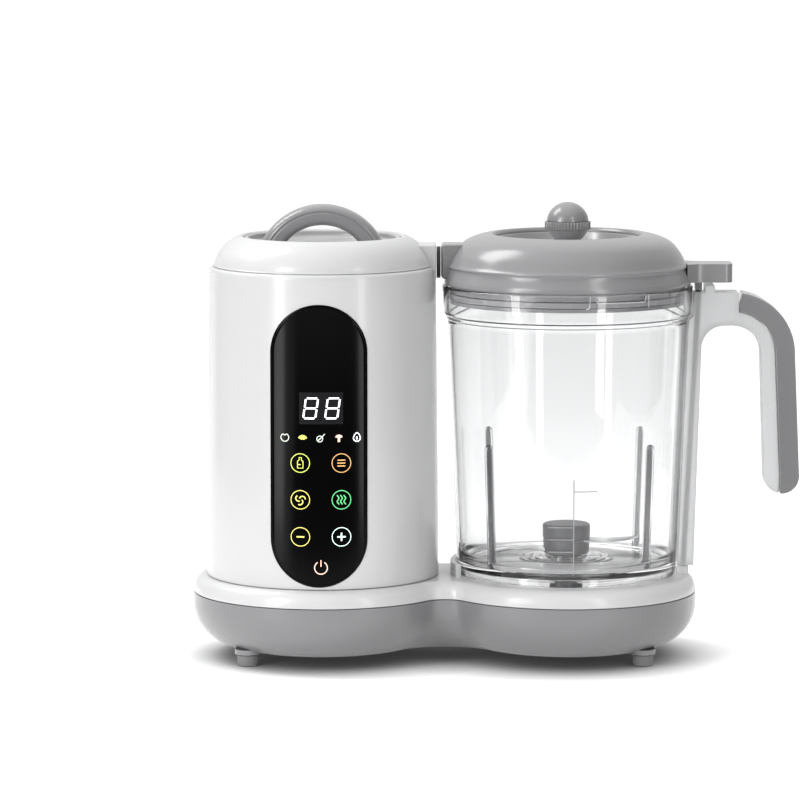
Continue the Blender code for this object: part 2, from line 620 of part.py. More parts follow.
def jug(parent):
    low = DECK_Z + GAP
    wall = JUG_WALL
    body = place("jug_body", turned("jug_body", [
        (JUG_COLLAR_R - 0.5, JUG_TOP_Z), (JUG_COLLAR_R, JUG_TOP_Z - 0.6),
        (collar_radius(COLLAR_LOW_Z), COLLAR_LOW_Z),
        (JUG_HEAD_R, COLLAR_LOW_Z - 1), (jug_radius(low), low), (jug_radius(low) - wall, low),
        (jug_radius(JUG_UNDER_Z) - wall, JUG_UNDER_Z), (9.2, JUG_UNDER_Z), (9.2, CUP_TOP_Z - 2.4),
        (BUSH_R + GAP, CUP_TOP_Z - 2.4), (BUSH_R + GAP, CUP_TOP_Z), (11.5, CUP_TOP_Z), (12, JUG_FLOOR_Z),
        (jug_radius(JUG_FLOOR_Z) - wall - 3, JUG_FLOOR_Z), (jug_radius(JUG_FLOOR_Z) - wall, JUG_FLOOR_Z + 3),
        (JUG_HEAD_R - wall, COLLAR_LOW_Z - 1), (collar_radius(COLLAR_LOW_Z) - wall, COLLAR_LOW_Z + 1.5),
        (JUG_COLLAR_R - wall, JUG_TOP_Z)]), parent, "clear_plastic")
    for i, angle in enumerate((-138, -42, 42, 138)):
        a = math.radians(angle)
        radial, across = Vector((math.cos(a), math.sin(a))), Vector((-math.sin(a), math.cos(a)))
        loops = []
        for z in (JUG_FLOOR_Z - 1, JUG_FLOOR_Z + 65):
            out = jug_radius(z) - wall + 1
            corners = [(out, -1.5), (out, 1.5), (out - 4.4, 1.1), (out - 4.4, -1.1)]
            loops.append([(*(radial * r + across * s), z) for r, s in corners])
        add(body, lofted(f"jug_rib_{i}", loops))
    place("blade_bush", ring("blade_bush", SHAFT_R + GAP, BUSH_R, CUP_TOP_Z - 2.4, CUP_TOP_Z), parent,
          "bronze")


HANDLE_TOP_Z = JUG_TOP_Z - 3.5
HANDLE_LOW_Z = POST_TOP_Z + GAP
GRIP_LOW_Z = HANDLE_TOP_Z - 104.9
BEND_R = 32.0
INNER_BEND_R = 15.0
HANDLE_W = 16.0
GRIP_DEPTH = 19.0
CUT_ANGLE = 82.0  # where the inlay starts on the outer bend
STRIP_OUT = 9.0  # the strip's outer face beyond the jug's foot
ROD_R = 1.5
ROD_LOW = (PLUNGER_X, POST_TOP_Z + 0.8)
ROD_HIGH = (JUG_COLLAR_R + 3.0, HANDLE_TOP_Z + 0.3)


def grip_paths(inset):
    """The line at a depth inside the grip's outer face, from the bend down to the round end."""
    centre = (GRIP_REACH - GRIP_LEAN - BEND_R, HANDLE_TOP_Z - BEND_R)
    end = (GRIP_REACH - GRIP_W / 2, GRIP_LOW_Z + GRIP_W / 2)
    bend = arc(centre, BEND_R - inset, CUT_ANGLE, 0, 7)
    foot = (GRIP_REACH - inset, end[1])
    return bend, foot, end


def handle(jug_axis):
    outer_bend, outer_foot, end = grip_paths(0)
    inner_bend, inner_foot, _ = grip_paths(GRIP_INLAY)
    seat_bend, seat_foot, _ = grip_paths(GRIP_INLAY + GAP)
    split = math.degrees(math.acos((GRIP_W / 2 - GRIP_INLAY) / (GRIP_W / 2)))
    inlay = [*outer_bend, outer_foot, *arc(end, GRIP_W / 2, 0, -split, 6)[1:], inner_foot, *inner_bend[::-1]]
    place("handle_grip", slab("handle_grip", inlay, GRIP_DEPTH), jug_axis, "grey_abs")

    top, arm_low = HANDLE_TOP_Z, HANDLE_TOP_Z - ARM_H
    cut_x = seat_bend[0][0] - GAP
    grip_in_low = GRIP_REACH - GRIP_W
    grip_in_top = GRIP_REACH - GRIP_LEAN - GRIP_W + 0.7
    strip_low, strip_high = JUG_FOOT_R + STRIP_OUT, JUG_FOOT_R + STRIP_OUT + 3.2
    split_2 = math.degrees(math.acos((GRIP_W / 2 - GRIP_INLAY - GAP) / (GRIP_W / 2)))
    outline = [(JUG_FOOT_R - 6, HANDLE_LOW_Z), (strip_low, HANDLE_LOW_Z),
               *arc((strip_high + 12, arm_low - 12), 12, 180, 90, 5),
               *arc((grip_in_top - INNER_BEND_R, arm_low - INNER_BEND_R), INNER_BEND_R, 90, 0, 5),
               (grip_in_low, end[1]), *arc(end, GRIP_W / 2, 180, 360 - split_2, 6)[1:], seat_foot,
               *seat_bend[::-1], (cut_x, seat_bend[0][1]), (cut_x, top), (JUG_COLLAR_R + 11, top),
               (JUG_COLLAR_R + 11, top + 3.6), (JUG_COLLAR_R + 6, top + 3.6), (JUG_COLLAR_R + 6, top),
               (JUG_FOOT_R - 6, top)]
    frame = place("jug_handle", slab("jug_handle", outline, HANDLE_W), jug_axis, "frosted_plastic")
    cut(frame, turned("jug_clearance", [
        (0, top + 9), (JUG_COLLAR_R + GAP, top + 9), (JUG_COLLAR_R + GAP, JUG_TOP_Z),
        (collar_radius(COLLAR_LOW_Z) + GAP, COLLAR_LOW_Z - GAP),
        (JUG_HEAD_R + GAP, COLLAR_LOW_Z - 1.4), (jug_radius(DECK_Z) + GAP, DECK_Z), (0, DECK_Z)]))
    x0, z0 = ROD_LOW
    x1, z1 = ROD_HIGH
    lean = (x1 - x0) / (z1 - z0)
    cut(frame, rod("rod_bore", (x0 - 6 * lean, 0, z0 - 6), (x1 + 9 * lean, 0, z1 + 9), ROD_R + GAP, steps=12))


def interlock():
    """The rod in the jug's handle and the plunger in the deck that it presses down."""
    x0, z0 = ROD_LOW
    x1, z1 = ROD_HIGH
    length = math.hypot(x1 - x0, z1 - z0)
    pin = bpy.data.objects.new("interlock_rod", rod("interlock_rod", (0, 0, 0), (0, 0, length), ROD_R,
                                                    steps=12))
    pin.data.materials.append(finish("dark_nylon"))
    pin.location = ((JUG_X + x0) * MM, 0, z0 * MM)
    pin.rotation_euler = (0, math.atan2(x1 - x0, z1 - z0), 0)
    bpy.context.scene.collection.objects.link(pin)
    plunger = bpy.data.objects.new("switch_plunger", rod("switch_plunger", (0, 0, SEAM_Z + 0.6),
                                   (0, 0, POST_TOP_Z + 0.4), PLUNGER_R, steps=12))
    plunger.data.materials.append(finish("dark_nylon"))
    plunger.location = ((JUG_X + PLUNGER_X) * MM, 0, 0)
    bpy.context.scene.collection.objects.link(plunger)


HUB_LOW_Z = CUP_TOP_Z + 0.5
HUB_HIGH_Z = HUB_LOW_Z + 15.5
BLADE_T = 1.2
ROOT_HALF_W, TIP_HALF_W = 6.7, 1.2
SLOT_HALF_W = ROOT_HALF_W + 1.8  # the hub's slots are wider than the blades' roots


def sickle(reach, root, sweep, start):
    """Plan of one curved blade: its back follows a circular sweep, its edge narrows to a point."""
    back, edge = [], []
    steps = 8
    for i in range(steps + 1):
        t = i / steps
        r = root + (reach - root) * t
        width = (ROOT_HALF_W - TIP_HALF_W) * (1 - t) ** 0.8 + TIP_HALF_W
        a = math.radians(start + sweep * t * t)
        ahead = width / r
        back.append((r * math.cos(a - ahead), r * math.sin(a - ahead)))
        edge.append((r * math.cos(a + ahead), r * math.sin(a + ahead)))
    return back + edge[::-1]


def blade(parent):
    top_r, low_r = HUB_R, HUB_R - 0.7
    hub = place("blade_hub", turned("blade_hub", [
        (0, HUB_HIGH_Z), (top_r - 0.8, HUB_HIGH_Z), (top_r, HUB_HIGH_Z - 0.8), (low_r, HUB_LOW_Z),
        (9, HUB_LOW_Z), (9, HUB_LOW_Z + 4), (SHAFT_R + GAP, HUB_LOW_Z + 4),
        (SHAFT_R + GAP, HUB_HIGH_Z - 2), (0, HUB_HIGH_Z - 2)], 24), parent, "dark_nylon")
    for name, z, root, reach, start in (("blade_lower", HUB_LOW_Z + 1.2, 9.4, BLADE_REACH, 166),
                                        ("blade_upper", HUB_LOW_Z + 6.4, 8, BLADE_REACH + 1.5, -14)):
        place(name, prism(name, sickle(reach, root, 28, start), z, z + BLADE_T), parent, "steel")
        inner = root * math.cos(ROOT_HALF_W / root) - GAP
        along = Vector((math.cos(math.radians(start)), math.sin(math.radians(start))))
        across = Vector((-along.y, along.x))
        outer = HUB_R + 3
        corners = ((inner, -SLOT_HALF_W), (outer, -SLOT_HALF_W), (outer, SLOT_HALF_W), (inner, SLOT_HALF_W))
        slot = [tuple(along * a + across * b) for a, b in corners]
        cut(hub, prism("slot_" + name, slot, z - GAP, z + BLADE_T + GAP))
    place("blade_shaft", rod("blade_shaft", (0, 0, DOG_HIGH_Z + 0.6), (0, 0, HUB_HIGH_Z - 2.4), SHAFT_R),
          parent, "steel")
    dog = place("blade_dog", rod("blade_dog", (0, 0, DECK_Z + 1.2), (0, 0, CUP_TOP_Z - 2.7), 8.5),
                parent, "dark_nylon")
    cut(dog, prism("dog_socket", hexagon(DOG_R + 0.6), 0, DOG_HIGH_Z + GAP))
    cut(dog, rod("dog_hole", (0, 0, 0), (0, 0, CUP_TOP_Z), SHAFT_R + GAP))


# ---- Lid ----
SKIRT_R = JUG_COLLAR_R - JUG_WALL - 1.5
SEAL_LOW_Z = JUG_TOP_Z - 7
LID_R = JUG_COLLAR_R - 1.1
LID_LOW_Z = JUG_TOP_Z + GAP
LID_RIM_Z = JUG_TOP_Z + 10
DISC_Z = JUG_TOP_Z + 20  # top face of the disc in the lid's recess
RECESS_R = 38.0
STEAM_HOLE_OUT, STEAM_HOLE_R = 16.0, 2.5  # the vent's holes in the disc and in the shutter under it
LUG_R = AXIS_SPACING - (OUTLET_OUT_X + GAP + 2) - GAP


def lid(seal_axis, lid_axis):
    z = JUG_TOP_Z
    seal_r = collar_radius(SEAL_LOW_Z) - JUG_WALL - GAP
    place("lid_seal", ring("lid_seal", SKIRT_R - 2.1, seal_r, SEAL_LOW_Z + GAP, SEAL_LOW_Z + 3.1, BIG),
          seal_axis, "silicone")
    inside = SKIRT_R - 4.6
    dome = place("lid_dome", turned("lid_dome", [
        (RECESS_R, z + 25.5), (RECESS_R + 2, z + 26.6), (LID_R - 17.7, z + 25.6), (LID_R - 12.7, z + 23.8),
        (LID_R - 8.9, z + 21.3), (LID_R - 5.1, z + 16.5), (LID_R - 1.6, LID_RIM_Z),
        (LID_R - 2.4, LID_RIM_Z - 1.2), (LID_R, LID_RIM_Z - 7.8), (LID_R, LID_LOW_Z), (SKIRT_R, LID_LOW_Z), (SKIRT_R, SEAL_LOW_Z + 3.4),
        (SKIRT_R - 2.4, SEAL_LOW_Z + 3.4), (SKIRT_R - 2.4, SEAL_LOW_Z), (SKIRT_R, SEAL_LOW_Z),
        (SKIRT_R, SEAL_LOW_Z - 2), (inside, SEAL_LOW_Z - 2),
        (inside, LID_RIM_Z), (LID_R - 7.3, z + 15.3), (LID_R - 10.5, z + 19.4), (LID_R - 13.9, z + 21.7),
        (LID_R - 18.4, z + 23.4), (RECESS_R + 2.2, z + 24), (RECESS_R + 2.2, DISC_Z - 4.3),
        (RECESS_R - 3, DISC_Z - 4.3), (RECESS_R - 3, DISC_Z - 2.3), (RECESS_R, DISC_Z - 2.3)]),
        lid_axis, "grey_abs")
    half = math.degrees(math.asin(9 / LUG_R))
    lug = [*arc((0, 0), LUG_R, 180 - half, 180 + half, 4), (-LID_R + 11, -9), (-LID_R + 11, 9)]
    add(dome, prism("steam_lug", lug, OUTLET_LOW_Z + 1, OUTLET_HIGH_Z))
    cut(dome, rod("lug_bore", (-LUG_R - 5, 0, STEAM_Z), (-LID_R + 9, 0, STEAM_Z), 3, steps=12))
    tab = [(LID_R - 2.5, -12), (LID_R + 3, -10), (LID_R + 18, -10), *arc((LID_R + 18, -7), 3, -60, 0, 2),
           *arc((LID_R + 18, 7), 3, 0, 60, 2), (LID_R + 18, 10), (LID_R + 3, 10), (LID_R - 2.5, 12)]
    add(dome, prism("lid_tab", tab, z + 1.7, z + 11.3))
    add(dome, block("tab_hook", (ROD_HIGH[0] - 2, ROD_HIGH[0] + 1.6), (-4, 4), (HANDLE_TOP_Z + 0.7, z + 3)))

    disc = place("lid_disc", ring("lid_disc", SHAFT_R + GAP, RECESS_R - GAP, DISC_Z - 2, DISC_Z, 32),
                 lid_axis, "grey_abs")
    for side in (-1, 1):
        x = STEAM_HOLE_OUT * side
        cut(disc, rod(f"steam_hole_{side}", (x, 0, DISC_Z - 9), (x, 0, DISC_Z + 9), STEAM_HOLE_R, steps=12))


BALL_R = 11.0
BALL_Z = DISC_Z + 11.8
RING_LOW_Z = DISC_Z + 8.7
RING_H = 4.1
SHUTTER_R = STEAM_HOLE_OUT + STEAM_HOLE_R + 1.5
VENT_TURN = math.radians(60)  # turning the knob this far brings the shutter's holes under the disc's


def vent(parent):
    groove = BALL_R - 1.0
    low_a = math.degrees(math.asin((DISC_Z + 0.4 - BALL_Z) / (BALL_R + 1.5)))
    upper = arc((0, BALL_Z), BALL_R, 90, 8, 5)
    lower = arc((0, BALL_Z), BALL_R, -19, low_a, 3)
    profile = [*upper, (groove, RING_LOW_Z + RING_H + 0.3), (groove, RING_LOW_Z - 0.3), *lower,
               (lower[-1][0], DISC_Z + 0.4), (0, DISC_Z + 0.4)]
    place("knob_ball", turned("knob_ball", profile, 24), parent, "grey_abs")
    place("knob_ring", ring("knob_ring", groove + GAP, BALL_R + 0.9, RING_LOW_Z, RING_LOW_Z + RING_H, 24),
          parent, "grey_abs")
    shutter = place("vent_shutter", turned("vent_shutter", [
        (0, DISC_Z + 0.1), (SHAFT_R, DISC_Z + 0.1), (SHAFT_R, DISC_Z - 2.3), (SHUTTER_R, DISC_Z - 2.3),
        (SHUTTER_R, DISC_Z - 3.8), (0, DISC_Z - 3.8)], 28), parent, "grey_abs")
    for side in (-1, 1):
        x = STEAM_HOLE_OUT * side * math.cos(VENT_TURN)
        y = -STEAM_HOLE_OUT * side * math.sin(VENT_TURN)
        cut(shutter, rod(f"shutter_hole_{side}", (x, y, DISC_Z - 9), (x, y, DISC_Z + 9), STEAM_HOLE_R,
                         steps=12))


# ---- Switch and cord ----
GLAND_END_Y = 60.0
ROUTE_STEP = 7.7  # between the cord's points
PIN_R, PIN_TOP_Z, PIN_OUT = 2.4, 44.5, 9.5
SLEEVE_END_Y = 146.0
LEAD_ROUTE = [(-26.45, 60.3, 19), (-26.45, 66, 18.6), (-26.45, 74, 16.3), (-26.45, 84.2, 11.25),
              (-26.45, 94, 6.3), (-26.45, 102, 4.0), (-26.45, 108.4, 3.5)]
COIL_MIDDLE = (-71.05, 135.0)
COIL_IN_R, COIL_OUT_R, COIL_H = 33.6, 48.4, 13.5
TAIL_ROUTE = [(-97.9, 179.6, 3.5), (-107.4, 178.2, 3.5), (-117.5, 173.2, 3.6), (-124.6, 165.9, 4.4),
              (-129, 157.6, 6.3), (-130.7, 151, 7.8), (-130.8, 146.5, 8)]
PLUG_X, PLUG_Y, PLUG_EXIT_Z = -130.8, 96.0, 8.0


def cord(base_axis):
    gland = place("cord_gland", rod("cord_gland", (0, WAIST_Y - 16, GLAND_Z), (0, WAIST_Y + 2, GLAND_Z),
                  GLAND_R), base_axis, "black_plastic")
    add(gland, rod("gland_taper", (0, WAIST_Y + 1, GLAND_Z), (0, GLAND_END_Y, GLAND_Z), GLAND_R, 4.3))
    tube("cord_lead", smooth_route(LEAD_ROUTE, ROUTE_STEP), CORD_R, "black_plastic")
    coil = place("cord_coil", ring("cord_coil", COIL_IN_R, COIL_OUT_R, 0, COIL_H, BIG), None, "black_plastic")
    coil.location = (COIL_MIDDLE[0] * MM, COIL_MIDDLE[1] * MM, 0)
    tube("cord_tail", smooth_route(TAIL_ROUTE, ROUTE_STEP), CORD_R, "black_plastic")

    plug_axis = axis("axis_plug", PLUG_X)
    plug_axis.location.y = PLUG_Y * MM
    body = place("plug_body", turned("plug_body", [(0, 25.5), (16.5, 25.5), (19, 23.5), (19.5, 3), (17.5, 0),
                 (0, 0)], 28), plug_axis, "black_plastic")
    add(body, rod("plug_neck", (0, 12, PLUG_EXIT_Z + 1), (0, 28, PLUG_EXIT_Z + 1), 8.5, 6.5))
    add(body, rod("plug_sleeve", (0, 24, PLUG_EXIT_Z), (0, SLEEVE_END_Y - PLUG_Y, PLUG_EXIT_Z), 6, 4.3))
    for side in (-1, 1):
        x = PIN_OUT * side
        add(body, rod(f"plug_pin_{side}", (x, 0, 20), (x, 0, PIN_TOP_Z), PIN_R, steps=12))


def micro_switch(jug_axis):
    place("micro_switch", block("micro_switch", (PLUNGER_X - SWITCH_IN, PLUNGER_X + 1), (-6, 6),
          (SWITCH_TOP_Z - 14.2, SWITCH_TOP_Z)), jug_axis, "black_plastic")


def build():
    clear_scene()
    base = axis("axis_base", MIDDLE_X)
    column_axis = axis("axis_column", COLUMN_X)
    jug_seat = axis("axis_jug_seat", JUG_X)
    bottom_shell(base)
    deck(base)
    column(column_axis)
    water_and_steam(column_axis)
    filler(axis("axis_tank_plug", COLUMN_X), axis("axis_tank_knob", COLUMN_X))
    motor(column_axis, axis("axis_motor", COLUMN_X))
    drive(base, jug_seat, axis("axis_spindle", JUG_X))
    micro_switch(jug_seat)
    jug_axis = axis("axis_jug", JUG_X)
    jug(jug_axis)
    handle(jug_axis)
    interlock()
    blade(axis("axis_blade", JUG_X))
    lid(axis("axis_lid_seal", JUG_X), axis("axis_lid", JUG_X))
    vent(axis("axis_vent", JUG_X))
    cord(base)
    bpy.context.view_layer.update()


build()
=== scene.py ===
# %% [markdown]
# # A baby food maker
# The appliance is a white steam column and a clear blending jug on one two-lobed base. The packed
# CAD model gives the frame: every place and size below comes from it, in millimetres, and each new
# surface is a grid of points worked out with numpy. First come the frame, the camera and the cord,
# then a finish or a piece at a time, and last the floor and the lights.

# %% Load the frame
import math

import bmesh
import bpy
import numpy as np
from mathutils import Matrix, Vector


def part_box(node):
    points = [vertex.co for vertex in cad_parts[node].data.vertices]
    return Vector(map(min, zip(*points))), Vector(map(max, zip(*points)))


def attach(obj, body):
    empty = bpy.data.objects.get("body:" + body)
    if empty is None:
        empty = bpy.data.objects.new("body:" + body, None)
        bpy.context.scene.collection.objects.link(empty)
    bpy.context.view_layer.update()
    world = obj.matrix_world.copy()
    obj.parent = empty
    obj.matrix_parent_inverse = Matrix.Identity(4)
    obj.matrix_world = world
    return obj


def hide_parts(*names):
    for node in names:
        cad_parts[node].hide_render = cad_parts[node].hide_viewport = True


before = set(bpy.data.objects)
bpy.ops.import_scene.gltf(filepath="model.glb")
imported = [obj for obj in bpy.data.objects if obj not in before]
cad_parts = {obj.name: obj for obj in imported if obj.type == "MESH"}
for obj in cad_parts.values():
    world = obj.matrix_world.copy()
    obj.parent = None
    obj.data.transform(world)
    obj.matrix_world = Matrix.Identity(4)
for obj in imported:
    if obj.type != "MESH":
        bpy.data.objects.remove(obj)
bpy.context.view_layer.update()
MM = 0.001  # metres in a millimetre


def span(*nodes):
    """Lowest and highest corners, in millimetres, of the box round some CAD nodes."""
    boxes = np.array([[list(corner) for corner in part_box(node)] for node in nodes]) / MM
    return boxes[:, 0].min(0), boxes[:, 1].max(0)


shell_low, shell_high = span("base_bottom_shell")
LOBE_R = (shell_high[1] - shell_low[1]) / 2
COLUMN_X, JUG_X = shell_low[0] + LOBE_R, shell_high[0] - LOBE_R
MIDDLE_X = (COLUMN_X + JUG_X) / 2
SEAM_Z = shell_high[2]
column_low, column_high = span("column_shell")
DECK_Z, COLUMN_TOP_Z = column_low[2] - 0.3, column_high[2]
COLUMN_FOOT_R = (column_high[0] - column_low[0]) / 2
COLUMN_HEAD_R = COLUMN_FOOT_R - 1.7
jug_low, jug_high = span("jug_body")
JUG_TOP_Z, COLLAR_R = jug_high[2], (jug_high[0] - jug_low[0]) / 2
print("column at", COLUMN_X, "jug at", JUG_X, "deck at", DECK_Z, "column top", COLUMN_TOP_Z)

# %% [markdown]
# ## The camera
# A product shot is taken from far away with a long lens, so that the two round towers keep nearly
# parallel sides. The camera stands a little above the appliance and looks slightly down on it.

# %% Place the camera
CAMERA_DISTANCE, CAMERA_HEIGHT, AIM_HEIGHT = 2.30, 0.410, 0.1335
camera_data = bpy.data.cameras.new("product_camera")
camera_data.lens = 200.4
camera_data.sensor_width = 36.0
camera = bpy.data.objects.new("product_camera", camera_data)
camera.location = (MIDDLE_X * MM - 0.0233, -CAMERA_DISTANCE, CAMERA_HEIGHT)
pitch = math.atan2(CAMERA_HEIGHT - AIM_HEIGHT, CAMERA_DISTANCE)
camera.rotation_euler = (math.pi / 2 - pitch, 0, 0)
bpy.context.scene.collection.objects.link(camera)
bpy.context.scene.camera = camera
bpy.context.scene.view_settings.view_transform = "Standard"
print("camera looks down by", round(math.degrees(pitch), 2), "degrees")

# %% [markdown]
# ## Effects that several finishes share
# Injection-moulded plastic is never perfectly even: the tool's surface leaves a very fine grain, and
# handling leaves patches that shine a little more or less. One node group makes both from noise on
# Object coordinates. Turned and drawn metal carries fine lines instead, which a second group makes
# by stretching its noise along one axis. Groups pass on only colours and values.


# %% Node groups
def new_group(name, inputs, outputs):
    """An empty shader node group with its sockets, and its two end nodes."""
    tree = bpy.data.node_groups.new(name, "ShaderNodeTree")
    for label, kind, value in inputs:
        tree.interface.new_socket(name=label, in_out="INPUT", socket_type=kind).default_value = value
    for label, kind in outputs:
        tree.interface.new_socket(name=label, in_out="OUTPUT", socket_type=kind)
    return tree, tree.nodes.new("NodeGroupInput"), tree.nodes.new("NodeGroupOutput")


def maths(tree, operation, *values):
    """The output of a Math node whose inputs are numbers or other nodes' outputs, in order."""
    node = tree.nodes.new("ShaderNodeMath")
    node.operation = operation
    for place, value in enumerate(values):
        if isinstance(value, (int, float)):
            node.inputs[place].default_value = value
        else:
            tree.links.new(value, node.inputs[place])
    return node.outputs[0]


def surface_group(name, stretch, patch_scale):
    """Fine noise for a bump, and broad noise that shifts roughness and lightness either way."""
    tree, start, end = new_group(
        name,
        [("Tint", "NodeSocketColor", (0.8, 0.8, 0.8, 1)), ("Roughness", "NodeSocketFloat", 0.4),
         ("Spread", "NodeSocketFloat", 0.05), ("Mottle", "NodeSocketFloat", 0.02),
         ("Grain", "NodeSocketFloat", 900.0)],
        [("Color", "NodeSocketColor"), ("Roughness", "NodeSocketFloat"), ("Height", "NodeSocketFloat")])
    nodes, links = tree.nodes, tree.links
    place = nodes.new("ShaderNodeTexCoord")
    mapping = nodes.new("ShaderNodeMapping")
    mapping.inputs["Scale"].default_value = stretch
    links.new(place.outputs["Object"], mapping.inputs["Vector"])
    fine, broad = nodes.new("ShaderNodeTexNoise"), nodes.new("ShaderNodeTexNoise")
    links.new(mapping.outputs["Vector"], fine.inputs["Vector"])
    links.new(start.outputs["Grain"], fine.inputs["Scale"])
    links.new(mapping.outputs["Vector"], broad.inputs["Vector"])
    broad.inputs["Scale"].default_value = patch_scale
    broad.inputs["Detail"].default_value = 4
    shift = maths(tree, "SUBTRACT", broad.outputs["Fac"], 0.5)
    rough = maths(tree, "MULTIPLY_ADD", shift, start.outputs["Spread"], start.outputs["Roughness"])
    light = maths(tree, "MULTIPLY_ADD", shift, start.outputs["Mottle"], 1.0)
    shade = nodes.new("ShaderNodeHueSaturation")
    links.new(light, shade.inputs["Value"])
    links.new(start.outputs["Tint"], shade.inputs["Color"])
    links.new(shade.outputs["Color"], end.inputs["Color"])
    links.new(rough, end.inputs["Roughness"])
    links.new(fine.outputs["Fac"], end.inputs["Height"])
    return tree


MOULDED = surface_group("moulded_skin", (1, 1, 1), 22)
DRAWN = surface_group("drawn_metal", (1, 1, 14), 40)
print("node groups:", MOULDED.name, DRAWN.name)

# %% [markdown]
# ## Finishes of solid plastic, rubber and metal
# Each finish is one Principled material. The group feeds its colour, roughness and bump, and what is
# the same all over, such as a clear coat, is set on the shader itself. The white is kept well below
# full white, because a lit white of 1 would leave no room for shading.


# %% Finishes
def finish(name, tint, roughness, group=MOULDED, spread=0.06, mottle=0.03, grain=900.0, bump=0.05, **plain):
    """A Principled material fed by a surface group; plain sockets are set on the shader itself."""
    material = bpy.data.materials.new(name)
    material.use_nodes = True
    nodes, links = material.node_tree.nodes, material.node_tree.links
    shader = nodes["Principled BSDF"]
    surface = nodes.new("ShaderNodeGroup")
    surface.node_tree = group
    surface.inputs["Tint"].default_value = (*tint, 1)
    surface.inputs["Roughness"].default_value = roughness
    surface.inputs["Spread"].default_value = spread
    surface.inputs["Mottle"].default_value = mottle
    surface.inputs["Grain"].default_value = grain
    relief = nodes.new("ShaderNodeBump")
    relief.inputs["Strength"].default_value = bump
    relief.inputs["Distance"].default_value = 0.0003
    links.new(surface.outputs["Color"], shader.inputs["Base Color"])
    links.new(surface.outputs["Roughness"], shader.inputs["Roughness"])
    links.new(surface.outputs["Height"], relief.inputs["Height"])
    links.new(relief.outputs["Normal"], shader.inputs["Normal"])
    for socket, value in plain.items():
        shader.inputs[socket.replace("_", " ")].default_value = value
    return material


WHITE = finish("white_gloss", (0.53, 0.53, 0.535), 0.26, bump=0.03, Specular_IOR_Level=0.35, Coat_Weight=0.2,
               Coat_Roughness=0.08)
GREY = finish("grey_satin", (0.215, 0.215, 0.22), 0.26, bump=0.04, Coat_Weight=0.3, Coat_Roughness=0.16)
SHELL_GREY = finish("base_grey_satin", (0.185, 0.185, 0.19), 0.26, bump=0.04, Coat_Weight=0.3,
                    Coat_Roughness=0.16)
PALE_GREY = finish("pale_grey_satin", (0.40, 0.40, 0.405), 0.22, bump=0.03, Coat_Weight=0.4,
                   Coat_Roughness=0.1)
LENS = finish("black_lens", (0.001, 0.001, 0.0012), 0.15, spread=0.04, bump=0.004, Specular_IOR_Level=0.10)
GRIP_GREY = finish("grip_grey", (0.17, 0.17, 0.175), 0.2, bump=0.03, Coat_Weight=0.6, Coat_Roughness=0.1)
NYLON = finish("dark_nylon", (0.05, 0.05, 0.054), 0.38, bump=0.08)
BLACK = finish("black_moulding", (0.018, 0.018, 0.019), 0.45, grain=700, bump=0.2)
FOOT_RUBBER = finish("foot_rubber", (0.17, 0.17, 0.173), 0.6, grain=500, bump=0.25)
GASKET_RUBBER = finish("gasket_rubber", (0.02, 0.02, 0.02), 0.6, grain=500, bump=0.2)
SILICONE = finish("silicone", (0.78, 0.78, 0.76), 0.5, grain=300, bump=0.1, Subsurface_Weight=0.2)
GREY_SILICONE = finish("grey_silicone", (0.23, 0.23, 0.235), 0.5, grain=300, bump=0.1)
STEEL = finish("brushed_steel", (0.60, 0.60, 0.61), 0.24, DRAWN, 0.12, 0.05, 1400.0, 0.12, Metallic=1.0)
NICKEL = finish("nickel_pin", (0.72, 0.71, 0.69), 0.16, DRAWN, 0.08, 0.04, 1100.0, 0.05, Metallic=1.0)
BRONZE = finish("sintered_bronze", (0.52, 0.33, 0.17), 0.42, grain=1500, bump=0.4, Metallic=1.0)
BOARD = finish("circuit_board", (0.02, 0.13, 0.06), 0.35, grain=120, mottle=0.35, bump=0.3)
CORD_SKIN = finish("cord_sheath", (0.02, 0.02, 0.021), 0.5, grain=450, bump=0.3)
print(len(bpy.data.materials), "materials so far")

# %% [markdown]
# ## Clear and frosted plastic
# The jug is thick clear plastic, so it refracts: the walls look almost empty from the front and
# gather grey lines at the edges. Real glass shaders throw a dark shadow in a path tracer, so light
# rays that only ask for shadow pass straight through, which is what a clear jug does anyway. The
# handle is the same plastic with a blasted surface, which scatters what lies behind it.


# %% See-through finishes
def see_through(name, tint, roughness, transmission, passes, bump):
    """A Principled glass whose shadow rays are mixed with a Transparent shader by a fixed share."""
    material = finish(name, tint, roughness, spread=roughness * 0.3, mottle=0.01, bump=bump)
    nodes, links = material.node_tree.nodes, material.node_tree.links
    shader = nodes["Principled BSDF"]
    shader.inputs["Transmission Weight"].default_value = transmission
    shader.inputs["IOR"].default_value = 1.46
    clear, mix, path = (nodes.new("ShaderNodeBsdfTransparent"), nodes.new("ShaderNodeMixShader"),
                        nodes.new("ShaderNodeLightPath"))
    share = maths(material.node_tree, "MULTIPLY", path.outputs["Is Shadow Ray"], passes)
    links.new(share, mix.inputs["Fac"])
    links.new(shader.outputs[0], mix.inputs[1])
    links.new(clear.outputs[0], mix.inputs[2])
    links.new(mix.outputs[0], nodes["Material Output"].inputs["Surface"])
    return material


CLEAR = see_through("clear_plastic", (0.90, 0.903, 0.906), 0.0, 1.0, 0.94, 0.0)
FROSTED = see_through("frosted_plastic", (0.64, 0.645, 0.65), 0.42, 0.6, 0.6, 0.15)
# The next two are painted shade for the cores of the ribs: dark for the front ribs, paler for the back ones.
RIB_SHADE = see_through("rib_core_painted_shade", (0.12, 0.12, 0.125), 0.12, 0.2, 0.5, 0.02)
PALE_RIB_SHADE = see_through("pale_rib_core_painted_shade", (0.50, 0.505, 0.51), 0.2, 0.5, 0.6, 0.02)
ETCH = finish("moulded_mark", (0.28, 0.285, 0.29), 0.5)
LINE = see_through("collar_line_plastic", (0.62, 0.625, 0.63), 0.3, 0.4, 0.8, 0.0)


def ink(name, tint, glow):
    """A lit print behind the lens: the same colour for the surface and its light."""
    return finish(name, tint, 0.5, bump=0.0, Emission_Color=(*tint, 1), Emission_Strength=glow)


